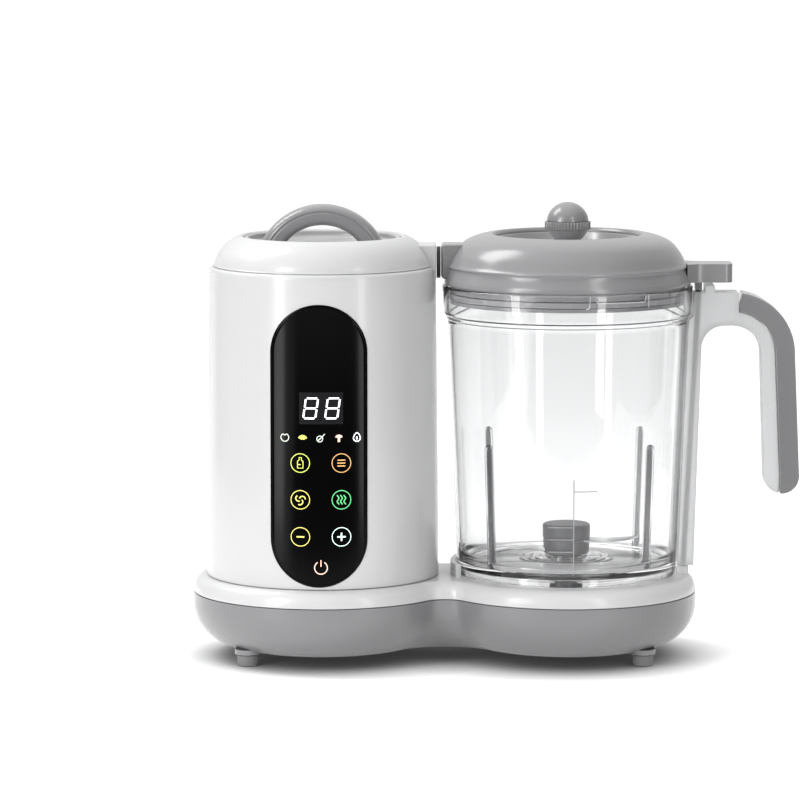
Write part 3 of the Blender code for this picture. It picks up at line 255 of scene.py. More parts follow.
print("see-through:", [material.name for material in (CLEAR, FROSTED, RIB_SHADE, PALE_RIB_SHADE, LINE)])

# %% [markdown]
# ## Grids that become meshes
# Nearly every piece is one grid of points: an outline repeated along a path, or a profile repeated
# round an axis. The helpers below join neighbouring grid points with quads, close what should be
# closed, merge the points that meet at a pole, and turn all faces outwards.


# %% Mesh helpers
def mesh_of(name, parts):
    """One mesh from (points, faces) parts in millimetres, doubles merged and faces turned out."""
    mesh = bpy.data.meshes.new(name)
    points = np.concatenate([p for p, _ in parts])
    starts = np.cumsum([0, *[len(p) for p, _ in parts[:-1]]])
    faces = [[int(i + s) for i in face] for (_, fs), s in zip(parts, starts) for face in fs]
    mesh.from_pydata(points * MM, [], faces)
    shape = bmesh.new()
    shape.from_mesh(mesh)
    bmesh.ops.remove_doubles(shape, verts=shape.verts, dist=2e-6)
    bmesh.ops.dissolve_degenerate(shape, edges=shape.edges, dist=1e-7)
    bmesh.ops.recalc_face_normals(shape, faces=shape.faces)
    shape.to_mesh(mesh)
    shape.free()
    return mesh


def piece(name, parts, material, body, replaces=(), bevel=0.0, segments=3, sharp=40):
    """An object made of parts, riding on its body and standing for some CAD nodes."""
    mesh = mesh_of(name, parts)
    mesh.shade_smooth()
    mesh.set_sharp_from_angle(angle=math.radians(sharp))
    mesh.materials.append(material)
    made = bpy.data.objects.new(name, mesh)
    bpy.context.scene.collection.objects.link(made)
    if bevel:
        edge = made.modifiers.new("soft_edges", "BEVEL")
        edge.width = bevel * MM
        edge.segments = segments
        edge.limit_method = "ANGLE"
        edge.angle_limit = math.radians(50)
        edge.harden_normals = True
    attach(made, body)
    if replaces:
        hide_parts(*replaces)
    print(name, len(mesh.polygons), "faces")
    return made


def grid(points, wrap_u=True, wrap_v=False, caps=True):
    """Quads over a (u, v) grid of points; u wraps round, and v is capped by flat faces or wraps."""
    count_v, count_u = points.shape[:2]
    index = np.arange(count_v * count_u).reshape(count_v, count_u)
    rows = index if not wrap_v else np.vstack([index, index[:1]])
    columns = rows if not wrap_u else np.hstack([rows, rows[:, :1]])
    quads = np.stack([columns[:-1, :-1], columns[:-1, 1:], columns[1:, 1:], columns[1:, :-1]], -1)
    faces = quads.reshape(-1, 4).tolist()
    if caps and not wrap_v:
        faces += [index[0].tolist(), index[-1].tolist()]
    return points.reshape(-1, 3), faces


# %% [markdown]
# ## Profiles, arcs and simple solids
# Moulded parts have no knife edges, so a profile's corners are rounded before it is turned. Each
# corner gives way to a short curve, which costs a few points and keeps the rest of the profile
# straight. Flat parts are an outline given thickness, and Blender's Bevel rounds their edges.


# %% Profiles and simple solids
def soften(profile, radius, steps=4, closed=True):
    """Each corner becomes a quadratic curve between points a radius away along its two edges."""
    p = np.array(profile, float)
    before, after = np.roll(p, 1, 0), np.roll(p, -1, 0)
    radius = np.broadcast_to(np.array(radius, float), len(p)).copy()
    radius[p[:, 0] < 1e-6] = 0
    if not closed:
        radius[[0, -1]] = 0
    t = np.linspace(0, 1, steps + 1)[None, :, None]
    ends = []
    for other in (before, after):
        edge = other - p
        length = np.maximum(np.linalg.norm(edge, axis=1), 1e-9)
        ends.append(p + edge * (np.minimum(radius, 0.46 * length) / length)[:, None])
    a, c = ends[0][:, None], ends[1][:, None]
    curve = (1 - t) ** 2 * a + 2 * t * (1 - t) * p[:, None] + t ** 2 * c
    return curve.reshape(-1, 2)


def arc(centre, radius, start, end, count, radius_2=None):
    """centre + (radius cos a, radius_2 sin a) for evenly spaced angles a, in degrees."""
    a = np.radians(np.linspace(start, end, count))
    other = radius if radius_2 is None else radius_2
    return np.stack([centre[0] + radius * np.cos(a), centre[1] + other * np.sin(a)], -1)


def turn(profile, x=0.0, y=0.0, around=160, ripple=None):
    """A closed (r, z) profile turned about a vertical axis: (x + r cos a, y + r sin a, z).

    A ripple is a function of the angle that is added to the radius away from the axis."""
    p = np.array(profile, float)
    a = np.linspace(0, 2 * np.pi, around, endpoint=False)[None, :]
    r = p[:, :1] + (0 if ripple is None else ripple(a) * (p[:, :1] > 1e-6))
    points = np.stack([x + r * np.cos(a), y + r * np.sin(a), p[:, 1:] + 0 * a], -1)
    return grid(points, wrap_v=True)


def plate(outline, low, high, axis="z"):
    """A flat outline given thickness along z, or along y for an outline in (x, z)."""
    p = np.array(outline, float)
    layers = []
    for level in (low, high):
        third = np.full(len(p), level)
        layers.append(np.stack([p[:, 0], p[:, 1], third] if axis == "z" else [p[:, 0], third, p[:, 1]], -1))
    return grid(np.stack(layers))


def brick(x, y, z):
    """A box between pairs of limits."""
    return plate([(x[0], y[0]), (x[1], y[0]), (x[1], y[1]), (x[0], y[1])], *z)


print("a corner of radius 1 becomes", len(soften([(0, 0), (4, 0), (4, 4)], 1)) // 3, "points")

# %% [markdown]
# ## The mains cord
# The black lead leaves the back of the base's waist through a tapered strain relief, drops to the
# table and is wound into a small coil, as it comes out of the box, with the plug beside the coil.
# It is one curve of fixed length: a smooth lead, turns worked out from an angle, and a smooth tail.
# Two turns lie on the table and the rest lies in the groove between them.

# %% Cord
CORD_R = 3.5
LEAD_ROUTE = np.array([(-26.45, 60.3, 19), (-26.45, 66, 18.6), (-26.45, 74, 16.3), (-26.45, 84.2, 11.25),
                       (-26.45, 94, 6.3), (-26.45, 102, 4.0), (-26.45, 108.4, 3.5)])
TAIL_ROUTE = np.array([(-99.6, 178.9, 8.3), (-108.4, 177.7, 5.4), (-117.6, 173.3, 3.9), (-124.6, 165.9, 3.9),
                       (-129, 157.6, 5.8), (-130.7, 151, 7.6), (-130.8, 146.5, 8)])
COIL_X, COIL_Y = -71.05, 135.0
OUTER_TURN_R, INNER_TURN_R, UPPER_TURN_R, UPPER_Z = 44.6, 37.4, 41.0, 9.6


def catmull_rom(route, per_span=8):
    """A smooth curve through a route: 0.5 (2b + (c-a)t + (2a-5b+4c-d)t2 + (3b-a-3c+d)t3)."""
    p = np.vstack([2 * route[0] - route[1], route, 2 * route[-1] - route[-2]])
    a, b, c, d = (p[i:len(p) - 3 + i, None] for i in range(4))
    t = np.linspace(0, 1, per_span, endpoint=False)[None, :, None]
    curve = 0.5 * (2 * b + (c - a) * t + (2 * a - 5 * b + 4 * c - d) * t ** 2
                   + (3 * b - a - 3 * c + d) * t ** 3)
    return np.vstack([curve.reshape(-1, 3), route[-1:]])


def blend_in(value, low, high):
    """0 below low, 1 above high, and smooth between."""
    t = np.clip((value - low) / (high - low), 0, 1)
    return t * t * (3 - 2 * t)


turns = np.linspace(0, 3.25, 130)
radius = (OUTER_TURN_R + (INNER_TURN_R - OUTER_TURN_R) * blend_in(turns, 0.75, 1.05)
          + (UPPER_TURN_R - INNER_TURN_R) * blend_in(turns, 1.8, 2.1))
height = CORD_R + (UPPER_Z - CORD_R) * blend_in(turns, 1.72, 2.0) + 1.0 * blend_in(turns, 3.05, 3.25)
coil = np.stack([COIL_X + radius * np.cos(2 * np.pi * turns), COIL_Y + radius * np.sin(2 * np.pi * turns),
                 height], -1)
way_out = np.array([(-79.5, 176.6, 10.9), (-89, 178.2, 10.4)])
approach = np.array([(-26.45, 117, 3.5), (-26.45, 126, 3.5)])
lead = catmull_rom(np.vstack([LEAD_ROUTE, approach, coil[:1]]))[:-1]
tail = catmull_rom(np.vstack([coil[-1:], way_out, TAIL_ROUTE]))[1:]
cord_line = np.vstack([lead, coil, tail])
cord_curve = bpy.data.curves.new("mains_cord", "CURVE")
cord_curve.dimensions = "3D"
cord_spline = cord_curve.splines.new("POLY")
cord_spline.points.add(len(cord_line) - 1)
cord_spline.points.foreach_set("co", np.column_stack([cord_line * MM, np.ones(len(cord_line))]).ravel())
cord_curve.bevel_depth = CORD_R * MM
cord_curve.bevel_resolution = 5
cord_curve.use_fill_caps = True
cord_curve.materials.append(CORD_SKIN)
cord = bpy.data.objects.new("mains_cord", cord_curve)
bpy.context.scene.collection.objects.link(cord)
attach(cord, "base_unit")
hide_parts("cord_lead", "cord_coil", "cord_tail")

# %% [markdown]
# ## Plug and strain relief
# The plug is the angled, round kind with two round pins: a turned body with a moulded edge, a neck
# that takes the cord, and a ribbed sleeve. The sleeves of the plug and the strain relief are the same
# idea, a taper with grooves cut round it at even steps.


# %% Plug
def ribbed(start, direction, length, thick, thin, ribs):
    """A sleeve round a horizontal line: its radius tapers from thick to thin, and drops by 0.55 mm
    between the ribs, where |sin(pi ribs s)| is under 0.45, with s the share of the length."""
    along = np.linspace(0, 1, ribs * 8 + 1)
    r = thick + (thin - thick) * along - 0.55 * (np.abs(np.sin(np.pi * ribs * along)) < 0.45)
    profile = np.vstack([[(0, 0)], np.column_stack([r, along * length]), [(0, length)]])
    points, faces = turn(profile, around=48)
    forward = np.array(direction, float)
    side = np.array([forward[1], -forward[0], 0])
    return np.array(start) + points @ np.stack([side, [0, 0, 1.0], forward]), faces


plug_low, plug_high = span("plug_body")
PLUG_X, PLUG_Y = (plug_low[0] + plug_high[0]) / 2, plug_low[1] + 19.5
body_edge = soften([(0, 25.5), (3, 25.5), (3, 23), (13.8, 23), (13.8, 25.5), (16.8, 25.5), (19.3, 23),
                    (19.5, 14), (18.7, 13.3), (19.5, 12.6), (19.5, 3), (17.2, 0), (0, 0)], 0.9)
plug_parts = [turn(body_edge, PLUG_X, PLUG_Y, 96),
              ribbed((PLUG_X, PLUG_Y + 16, 8.6), (0, 1, 0), 12, 8.2, 6.8, 1),
              ribbed((PLUG_X, PLUG_Y + 26, 8), (0, 1, 0), 24.2, 6.2, 4.4, 6)]
for side in (-1, 1):
    plug_parts.append(turn(soften([(0, 28), (4.2, 28), (4.4, 22.5), (0, 22.5)], 0.6), PLUG_X + 9.5 * side,
                           PLUG_Y, 40))
plug = piece("mains_plug", plug_parts, BLACK, "base_unit", ["plug_body"])
pin_parts = [turn(soften([(0, 44.5), (2.4, 44.5), (2.4, 27.5), (0, 27.5)], [0, 1.6, 0.2, 0]),
                  PLUG_X + 9.5 * side, PLUG_Y, 40) for side in (-1, 1)]
pin_parts += [brick((PLUG_X - 2.6, PLUG_X + 2.6), sorted((PLUG_Y + 14.2 * side, PLUG_Y + 15.6 * side)),
                    (18, 26)) for side in (-1, 1)]
plug_metal = piece("plug_pins", pin_parts, NICKEL, "base_unit", bevel=0.2)
gland_low, gland_high = span("cord_gland")
GLAND_Z = (gland_low[2] + gland_high[2]) / 2
gland_length = gland_high[1] - gland_low[1]
gland = piece("strain_relief", [
    ribbed((MIDDLE_X, gland_low[1], GLAND_Z), (0, 1, 0), 20.0, 6.0, 6.0, 1),
    ribbed((MIDDLE_X, gland_low[1] + 18, GLAND_Z), (0, 1, 0), gland_length - 18, 6.0, 4.4, 6)],
    BLACK, "base_unit", ["cord_gland"])
print("plug at", round(PLUG_X, 1), round(PLUG_Y, 1))

# %% [markdown]
# ## The base
# Seen from above the base is two circles joined by concave waists. Moving that outline inwards by a
# distance keeps the same four centres, so every level of the rounded shells is the same function of
# one number: lobes get smaller by it and waists get larger.


# %% Base shells
def peanut(inset, z, half=(JUG_X - COLUMN_X) / 2, waist=12.0):
    """Plan of the base, moved in by inset: lobes of radius R - inset, waists of radius w + inset."""
    rise = math.sqrt((LOBE_R + waist) ** 2 - half ** 2)
    lean = math.degrees(math.atan2(rise, half))
    lobe = arc((half, 0), LOBE_R - inset, lean - 180, 180 - lean, 121)
    hollow = arc((0, rise), waist + inset, -lean, lean - 180, 34)[1:-1]
    plan = np.vstack([lobe, hollow])
    plan = np.vstack([plan, -plan])
    return np.column_stack([plan[:, 0] + MIDDLE_X, plan[:, 1], np.full(len(plan), z)])


def levels(profile):
    """The base outline at each (inset, height) of a profile."""
    return grid(np.stack([peanut(inset, z) for inset, z in profile]))


UNDERSIDE_Z = 6.0
quarter = np.linspace(0, np.pi / 2, 17)[:, None]
side = np.hstack([24 * (1 - np.cos(quarter)), UNDERSIDE_Z + 22 * (1 - np.sin(quarter))])
inside = np.hstack([2.5 + 21.5 * (1 - np.cos(quarter)), 8.5 + 19.5 * (1 - np.sin(quarter))])
rim = soften([(0, 30), (0, SEAM_Z), (1.2, SEAM_Z), (2.5, SEAM_Z), (2.5, 30)], [0, 0.5, 0, 0.3, 0],
             closed=False)
piece("bottom_shell", [levels(np.vstack([side[::-1], rim, inside]))],
      SHELL_GREY, "base_unit", ["base_bottom_shell"])

DECK_LOW_Z = SEAM_Z + 0.35
rise = DECK_Z - DECK_LOW_Z
crown = np.hstack([6.5 * (1 - np.cos(quarter)), DECK_LOW_Z + 0.5 + (rise - 0.5) * np.sin(quarter)])
deck_profile = np.vstack([crown[::-1], [
    (0, DECK_LOW_Z + 0.3), (0.35, DECK_LOW_Z), (2.8, DECK_LOW_Z), (2.8, DECK_LOW_Z - 3),
    (4.5, DECK_LOW_Z - 3), (4.5, 37.5), (7, 40.5)]])
piece("deck_cover", [levels(deck_profile)], WHITE, "base_unit", ["base_deck"])
lug = np.vstack([arc((JUG_X, 0), 57.7, 162, 198, 30), arc((JUG_X, 0), 60.7, 198, 162, 30)])
piece("jug_lug", [plate(lug, DECK_Z - 1.5, DECK_Z + 7)], WHITE, "base_unit", bevel=0.8)
piece("switch_post", [brick((JUG_X + 57.8, JUG_X + 63.6), (-5, 5), (DECK_Z - 3, DECK_Z + 4.5))],
      WHITE, "base_unit", bevel=0.9)

# %% [markdown]
# ## Feet
# Four rubber feet sit under moulded pads. They are turned with a soft lower edge, and each one takes
# its place from its CAD node.

# %% Feet
for node in ("foot_front_left", "foot_front_right", "foot_rear_left", "foot_rear_right"):
    low, high = span(node)
    x, y = (low[:2] + high[:2]) / 2
    foot = soften([(0, high[2]), (2.5, high[2]), (2.5, 5.6), (5.5, 5.6), (5.1, 0), (3.6, 0), (3.2, 0.5),
                   (0, 0.5)], [0, 0.3, 0, 0.3, 0.8, 0.2, 0.2, 0])
    piece(node + "_rubber", [turn(foot, x, y, 64)], FOOT_RUBBER, "base_unit", [node])
    pad = soften([(0, 8.6), (6.5, 8.6), (6.5, 5.9), (3, 5.9), (3, 8), (0, 8)], [0, 0, 0.5, 0.2, 0, 0])
    piece(node + "_pad", [turn(pad, x, y, 64)], GREY, "base_unit")

# %% [markdown]
# ## The steam column
# The column is a slightly tapered tube under a separate cap. The two meet in a small chamfered step,
# which catches the light as a fine line. The cap rolls over a shoulder to the filler opening.

# %% Column shell and cap
top = COLUMN_TOP_Z
shell_profile = soften([(56.3, top), (57.4, top), (58.5, top - 0.9), (COLUMN_HEAD_R, top - 2.4),
                        (COLUMN_FOOT_R, DECK_Z + 0.3), (COLUMN_FOOT_R - 2.5, DECK_Z + 0.3), (56.3, top - 4)],
                       [0.2, 0.4, 0.6, 1.2, 0.4, 0.2, 1.0])
piece("column_tube", [turn(shell_profile, COLUMN_X, 0, 256)], WHITE, "base_unit", ["column_shell"])
shoulder = arc((37.2, top - 4.6), 19.9, 15, 66, 22, 21.2)
cap_profile = np.vstack([
    soften([(56.2, top + 0.4), (56.9, top + 0.4), shoulder[0]], [0, 0.3, 0], closed=False), shoulder[1:],
    soften([shoulder[-1], (43.6, top + 15.6), (42.2, top + 15.8), (41, top + 15), (41, top + 4.4),
            (43, top + 4.4), (43, top + 13), (48, top + 10.5), (54.2, top + 2), (54.2, top - 5.6),
            (56, top - 5.6), (56.2, top + 0.4)],
           [0, 1.2, 0.6, 0.6, 0.4, 0.4, 0.4, 2, 0.3, 0.3, 0.3, 0], closed=False)[1:-1]])
piece("column_crown", [turn(cap_profile, COLUMN_X, 0, 256)], WHITE, "base_unit", ["column_cap"])

# %% [markdown]
# ## The control lens
# The lens is a glossy black slot with round ends, bent round the column. Its surface is drawn as
# nested slots that shrink to a line: each point keeps its place (x, z) in front view and is pushed
# out to the column's radius there, y = -sqrt((r(z) + h)^2 - x^2), with h the height above the shell.


# %% Control lens
def column_radius(z):
    """Outside radius of the tapered column at a height."""
    return COLUMN_FOOT_R + (COLUMN_HEAD_R - COLUMN_FOOT_R) * (z - DECK_Z) / (COLUMN_TOP_Z - DECK_Z)


def wrap(x, z, h):
    """Front-view points (x from the column's axis, z) laid on the column, h above its surface."""
    y = -np.sqrt((column_radius(z) + h) ** 2 - x ** 2)
    return np.stack([x + COLUMN_X, y, z + 0 * x], -1)


lens_low, lens_high = span("control_lens")
LENS_X = (lens_low[0] + lens_high[0]) / 2 - COLUMN_X
LENS_R, LENS_LOW_Z, LENS_HIGH_Z = (lens_high[0] - lens_low[0]) / 2, lens_low[2], lens_high[2]


def slot(r):
    """Outline of the slot when its ends have radius r, with the same number of points for any r."""
    low, high = LENS_LOW_Z + LENS_R, LENS_HIGH_Z - LENS_R
    rise_up = np.column_stack([np.full(40, LENS_X + r), np.linspace(low, high, 42)[1:-1]])
    fall = np.column_stack([np.full(40, LENS_X - r), np.linspace(high, low, 42)[1:-1]])
    return np.vstack([rise_up, arc((LENS_X, high), r, 0, 180, 49), fall, arc((LENS_X, low), r, 180, 360, 49)])


LENS_TOP = 0.42
rings = [(r, -1.2) for r in np.linspace(0, LENS_R, 6)]
rings += [(LENS_R, 0.1), (LENS_R - 0.12, LENS_TOP - 0.1), (LENS_R - 0.35, LENS_TOP), (LENS_R - 0.9, LENS_TOP)]
rings += [(LENS_R - 1.05, LENS_TOP - 0.16), (LENS_R - 1.35, LENS_TOP - 0.16), (LENS_R - 1.5, LENS_TOP)]
rings += [(r, LENS_TOP) for r in np.linspace(LENS_R - 2, 0, 20)]
lens_grid = np.stack([wrap(slot(r)[:, 0], slot(r)[:, 1], h) for r, h in rings])
piece("control_glass", [grid(lens_grid, caps=False)], LENS, "base_unit", ["control_lens"])

# %% [markdown]
# ## Display and touch keys
# Everything printed behind the lens is a stroke: a ribbon of given width along a line in front view,
# laid on the lens as a thin solid. Rings, digits, signs and pictograms are all lists of strokes. The
# words on such keys are left out, and plain pictograms take their place.


# %% Strokes
def stroke(line, width, closed=False, low=LENS_TOP + 0.02, high=LENS_TOP + 0.1, lay=None):
    """A ribbon along a line in (x, z): points line +- normal * width / 2, at two heights."""
    p = np.array(line, float)
    if closed:
        tangent = np.roll(p, -1, 0) - np.roll(p, 1, 0)
    else:
        tangent = np.gradient(p, axis=0)
    tangent /= np.linalg.norm(tangent, axis=1)[:, None]
    normal = np.stack([-tangent[:, 1], tangent[:, 0]], -1) * width / 2
    lay = wrap if lay is None else lay
    corners = [(p + normal, low), (p - normal, low), (p - normal, high), (p + normal, high)]
    points = np.stack([lay(q[:, 0], q[:, 1], h) for q, h in corners], 1)
    return grid(points, wrap_v=closed)


def straight(a, b, count=6):
    """Points on a straight line, close enough together to bend round the column."""
    return np.linspace(a, b, count)


def print_on_lens(name, strokes, material):
    """One piece for all strokes of one colour."""
    piece(name, [stroke(*s) for s in strokes], material, "base_unit")


PRINT_X, DISPLAY_Z = LENS_X + 1.0, LENS_HIGH_Z - 52.6
KEY_X, KEY_R = 10.45, 4.75
KEY_ROWS_Z = (108.4, 89.6, 70.6)
KEY_LINE, ICON_LINE = 0.36, 0.42
INK = {name: ink("ink_" + name, tint, glow) for name, tint, glow in (
    ("white", (0.92, 0.95, 1.0), 1.5), ("lime", (0.62, 0.72, 0.12), 0.75),
    ("yellow", (0.74, 0.66, 0.16), 0.7), ("amber", (0.75, 0.42, 0.14), 0.65),
    ("green", (0.12, 0.62, 0.22), 0.75), ("mint", (0.62, 0.82, 0.76), 1.0),
    ("rose", (0.78, 0.52, 0.42), 0.75), ("pale", (0.62, 0.68, 0.60), 0.6))}
WINDOW = finish("display_window", (0.010, 0.010, 0.011), 0.3, Specular_IOR_Level=0.15)

piece("display_window", [
    stroke(straight((PRINT_X - 10.9, DISPLAY_Z), (PRINT_X + 11.3, DISPLAY_Z), 24), 16.2, False,
           LENS_TOP, LENS_TOP + 0.03)], WINDOW, "base_unit")


def digit(x, z, high=10.2, wide=6.2, slant=0.14, gap=0.5):
    """All seven bars of one slanted digit."""
    half = high / 2
    corners = {(i, j): np.array([x + (i - 0.5) * wide + slant * j * half, z + j * half])
               for i in (0, 1) for j in (-1, 0, 1)}
    bars = [((0, 1), (1, 1)), ((0, 0), (1, 0)), ((0, -1), (1, -1)), ((0, 0), (0, 1)), ((1, 0), (1, 1)),
            ((0, -1), (0, 0)), ((1, -1), (1, 0))]
    lines = []
    for start, end in bars:
        a, b = corners[start], corners[end]
        d = (b - a) / np.linalg.norm(b - a) * gap
        lines.append((straight(a + d, b - d, 4), 0.85))
    return lines


print_on_lens("display_digits", digit(PRINT_X - 5.1, DISPLAY_Z) + digit(PRINT_X + 6.0, DISPLAY_Z),
              INK["white"])

# %% [markdown]
# ## Touch keys
# Six keys are thin rings with a sign inside, in two columns under the display, and a power sign stands
# alone below them. Their signs are a bottle, a list, a three-bladed whirl, steam, minus and plus.


# %% Keys
def circle(x, z, r, count=64):
    """A closed ring of points, (x + r cos a, z + r sin a)."""
    return arc((x, z), r, 0, 360, count + 1)[:-1]


left, right = PRINT_X - KEY_X, PRINT_X + KEY_X
zt, zm, zb = KEY_ROWS_Z
bottle = np.array([(-1.4, -2.6), (1.4, -2.6), (1.4, 0.9), (0.6, 1.5), (0.6, 2.8), (-0.6, 2.8), (-0.6, 1.5),
                   (-1.4, 0.9)]) + [left, zt]
print_on_lens("key_warm", [(circle(left, zt, KEY_R), KEY_LINE, True), (bottle, ICON_LINE, True),
                           (straight((left - 1.2, zt - 0.8), (left + 0.2, zt - 0.8)), 0.4)], INK["lime"])
print_on_lens("key_menu", [(circle(right, zt, KEY_R), KEY_LINE, True)]
              + [(straight((right - 2, zt + d), (right + 2, zt + d)), 0.5) for d in (-1.5, 0, 1.5)],
              INK["amber"])
print_on_lens("key_blend", [(circle(left, zm, KEY_R), KEY_LINE, True)]
              + [(arc((left + 1.1 * math.cos(a), zm + 1.1 * math.sin(a)), 1.5, math.degrees(a) - 20,
                      math.degrees(a) + 150, 14), 0.55) for a in (0.3, 2.4, 4.5)], INK["yellow"])
wave = np.linspace(-2.4, 2.4, 16)
print_on_lens("key_steam", [(circle(right, zm, KEY_R), KEY_LINE, True)]
              + [(np.column_stack([right + d + 0.45 * np.sin(wave * 1.9), zm + wave]), 0.5)
                 for d in (-1.7, 0, 1.7)], INK["green"])
print_on_lens("key_minus", [(circle(left, zb, KEY_R), KEY_LINE, True),
                            (straight((left - 2.0, zb), (left + 2.0, zb)), 0.7)], INK["yellow"])
print_on_lens("key_plus", [(circle(right, zb, KEY_R), KEY_LINE, True),
                           (straight((right - 2.1, zb), (right + 2.1, zb)), 0.75),
                           (straight((right, zb - 2.1), (right, zb + 2.1)), 0.75)], INK["mint"])
POWER_Z = 54.8
print_on_lens("key_power", [(arc((PRINT_X, POWER_Z), 3.25, 122, 418, 48), 0.5),
                            (straight((PRINT_X, POWER_Z + 0.6), (PRINT_X, POWER_Z + 3.9)), 0.5)], INK["rose"])

# %% [markdown]
# ## Row of food pictures
# Five small pictures stand in a row under the display: an apple, a bean, a carrot, a mushroom and a
# pear. The apple is a ring with a dent, and the pear is a ring drawn up to a point.

# %% Food pictures
ROW_Z = DISPLAY_Z - 15.1
apple = circle(PRINT_X - 18.3, ROW_Z, 2.0, 40)
apple[:, 1] -= 0.9 * np.exp(-((apple[:, 0] - PRINT_X + 18.3) / 0.55) ** 2) * (apple[:, 1] > ROW_Z)
print_on_lens("icon_apple", [(apple, 0.4, True)], INK["pale"])
print_on_lens("icon_bean", [(arc((PRINT_X - 9.2, ROW_Z - 1.2), 1.5, 25, 155, 14, 1.6), 2.1)], INK["lime"])
sprig = np.array([(PRINT_X - 1.8, ROW_Z - 1.6), (PRINT_X + 0.4, ROW_Z + 0.2), (PRINT_X + 2.0, ROW_Z + 2.0)])
print_on_lens("icon_carrot", [(circle(PRINT_X - 0.5, ROW_Z - 0.5, 1.5, 24), ICON_LINE, True), (sprig, 0.5)],
              INK["pale"])
print_on_lens("icon_mushroom", [(arc((PRINT_X + 9.2, ROW_Z), 1.3, 10, 170, 16, 1.0), 1.3),
                                (straight((PRINT_X + 9.2, ROW_Z - 2.1), (PRINT_X + 9.2, ROW_Z + 0.4)), 1.2)],
              INK["rose"])
drop = circle(PRINT_X + 18.3, ROW_Z - 0.3, 1.75, 40)
drop[:, 1] += 0.9 * np.clip(np.sin(np.linspace(0, 2 * np.pi, 40)), 0, 1) ** 3
print_on_lens("icon_pear", [(drop, ICON_LINE, True),
                            (straight((PRINT_X + 18.3, ROW_Z - 1), (PRINT_X + 18.3, ROW_Z + 0.4)), 0.7)],
              INK["white"])

# %% [markdown]
# ## The filler knob
# The knob is a shallow dish with an arch to hold. The arch is a rounded, slightly flattened section
# carried along a circle, p(a, t) = (R + u(t)) (cos a, sin a), and both feet run into the dish.

# %% Filler knob
knob_low, knob_high = span("tank_knob")
dish_z, dish_r = knob_low[2], (knob_high[1] - knob_low[1]) / 2
dish = soften([(0, dish_z + 2.5), (35.4, dish_z + 2.5), (38.2, dish_z + 4), (38.5, dish_z + 6.5),
               (39.2, dish_z + 7), (dish_r, dish_z + 6.4), (dish_r, dish_z), (0, dish_z)],
              [0, 2.5, 1.2, 0.5, 0.5, 0.6, 0.4, 0])
arch_centre_z, arch_r = dish_z - 11.3, 29.5
t = np.linspace(0, 2 * np.pi, 120, endpoint=False)
power = 0.72
u = 5.5 * np.sign(np.cos(t)) * np.abs(np.cos(t)) ** power
v = 7.5 * np.sign(np.sin(t)) * np.abs(np.sin(t)) ** power
v = v * (1 - 0.08 * np.exp(-((u - 1.6) / 0.4) ** 2))
start = np.arcsin((dish_z + 1.5 - arch_centre_z) / (arch_r + u))
a = start[None, :] + (np.pi - 2 * start)[None, :] * np.linspace(0, 1, 72)[:, None]
arch_points = np.stack([COLUMN_X + (arch_r + u) * np.cos(a), v + 0 * a,
                        arch_centre_z + (arch_r + u) * np.sin(a)], -1)
piece("filler_knob", [grid(arch_points)], GREY, "tank_handle", ["tank_knob"])
piece("filler_dish", [turn(dish, COLUMN_X, 0, 192)], PALE_GREY, "tank_handle")

# %% [markdown]
# ## The steam link
# Steam leaves the column through a white block, crosses a black rubber gasket and enters the lid
# through a grey lug whose face is part of a cylinder about the jug's axis, so the lid can still turn.

# %% Steam link
out_low, out_high = span("steam_outlet")
steam_block = brick((out_low[0] - 6, out_high[0]), (out_low[1], out_high[1]), (out_low[2], out_high[2]))
piece("steam_block", [steam_block], WHITE, "base_unit", ["steam_outlet"], bevel=1.2, segments=4)
gas_low, gas_high = span("steam_gasket")
STEAM_Z = (gas_low[2] + gas_high[2]) / 2
seal_ring = soften([(3, 0), (3, 2), (6.5, 2), (6.9, 1.4), (7.4, 2), (8.2, 2), (8.2, 0)], 0.25)
points, faces = turn(seal_ring, around=72)
points = np.column_stack([gas_low[0] + points[:, 2], points[:, 0], STEAM_Z + points[:, 1]])
piece("steam_seal", [(points, faces)], GASKET_RUBBER, "base_unit", ["steam_gasket"])

# %% [markdown]
# ## The jug
# The jug is one turned wall of clear plastic: a skirt, a thick floor with a raised cup for the
# blade's bearing and fine rings round it, a tapered wall, and a wider collar. Four ribs inside break
# the swirl of the food, and a moulded scale stands out on the front.

# %% Jug wall
JUG_FOOT_R, JUG_HEAD_R, WALL = 57.0, 62.2, 2.5
FLOOR_Z, COLLAR_Z = DECK_Z + 7, JUG_TOP_Z - 15.5


def jug_radius(z):
    """Outside radius of the jug's wall under its collar."""
    return JUG_FOOT_R + (JUG_HEAD_R - JUG_FOOT_R) * (z - DECK_Z) / (COLLAR_Z - DECK_Z)


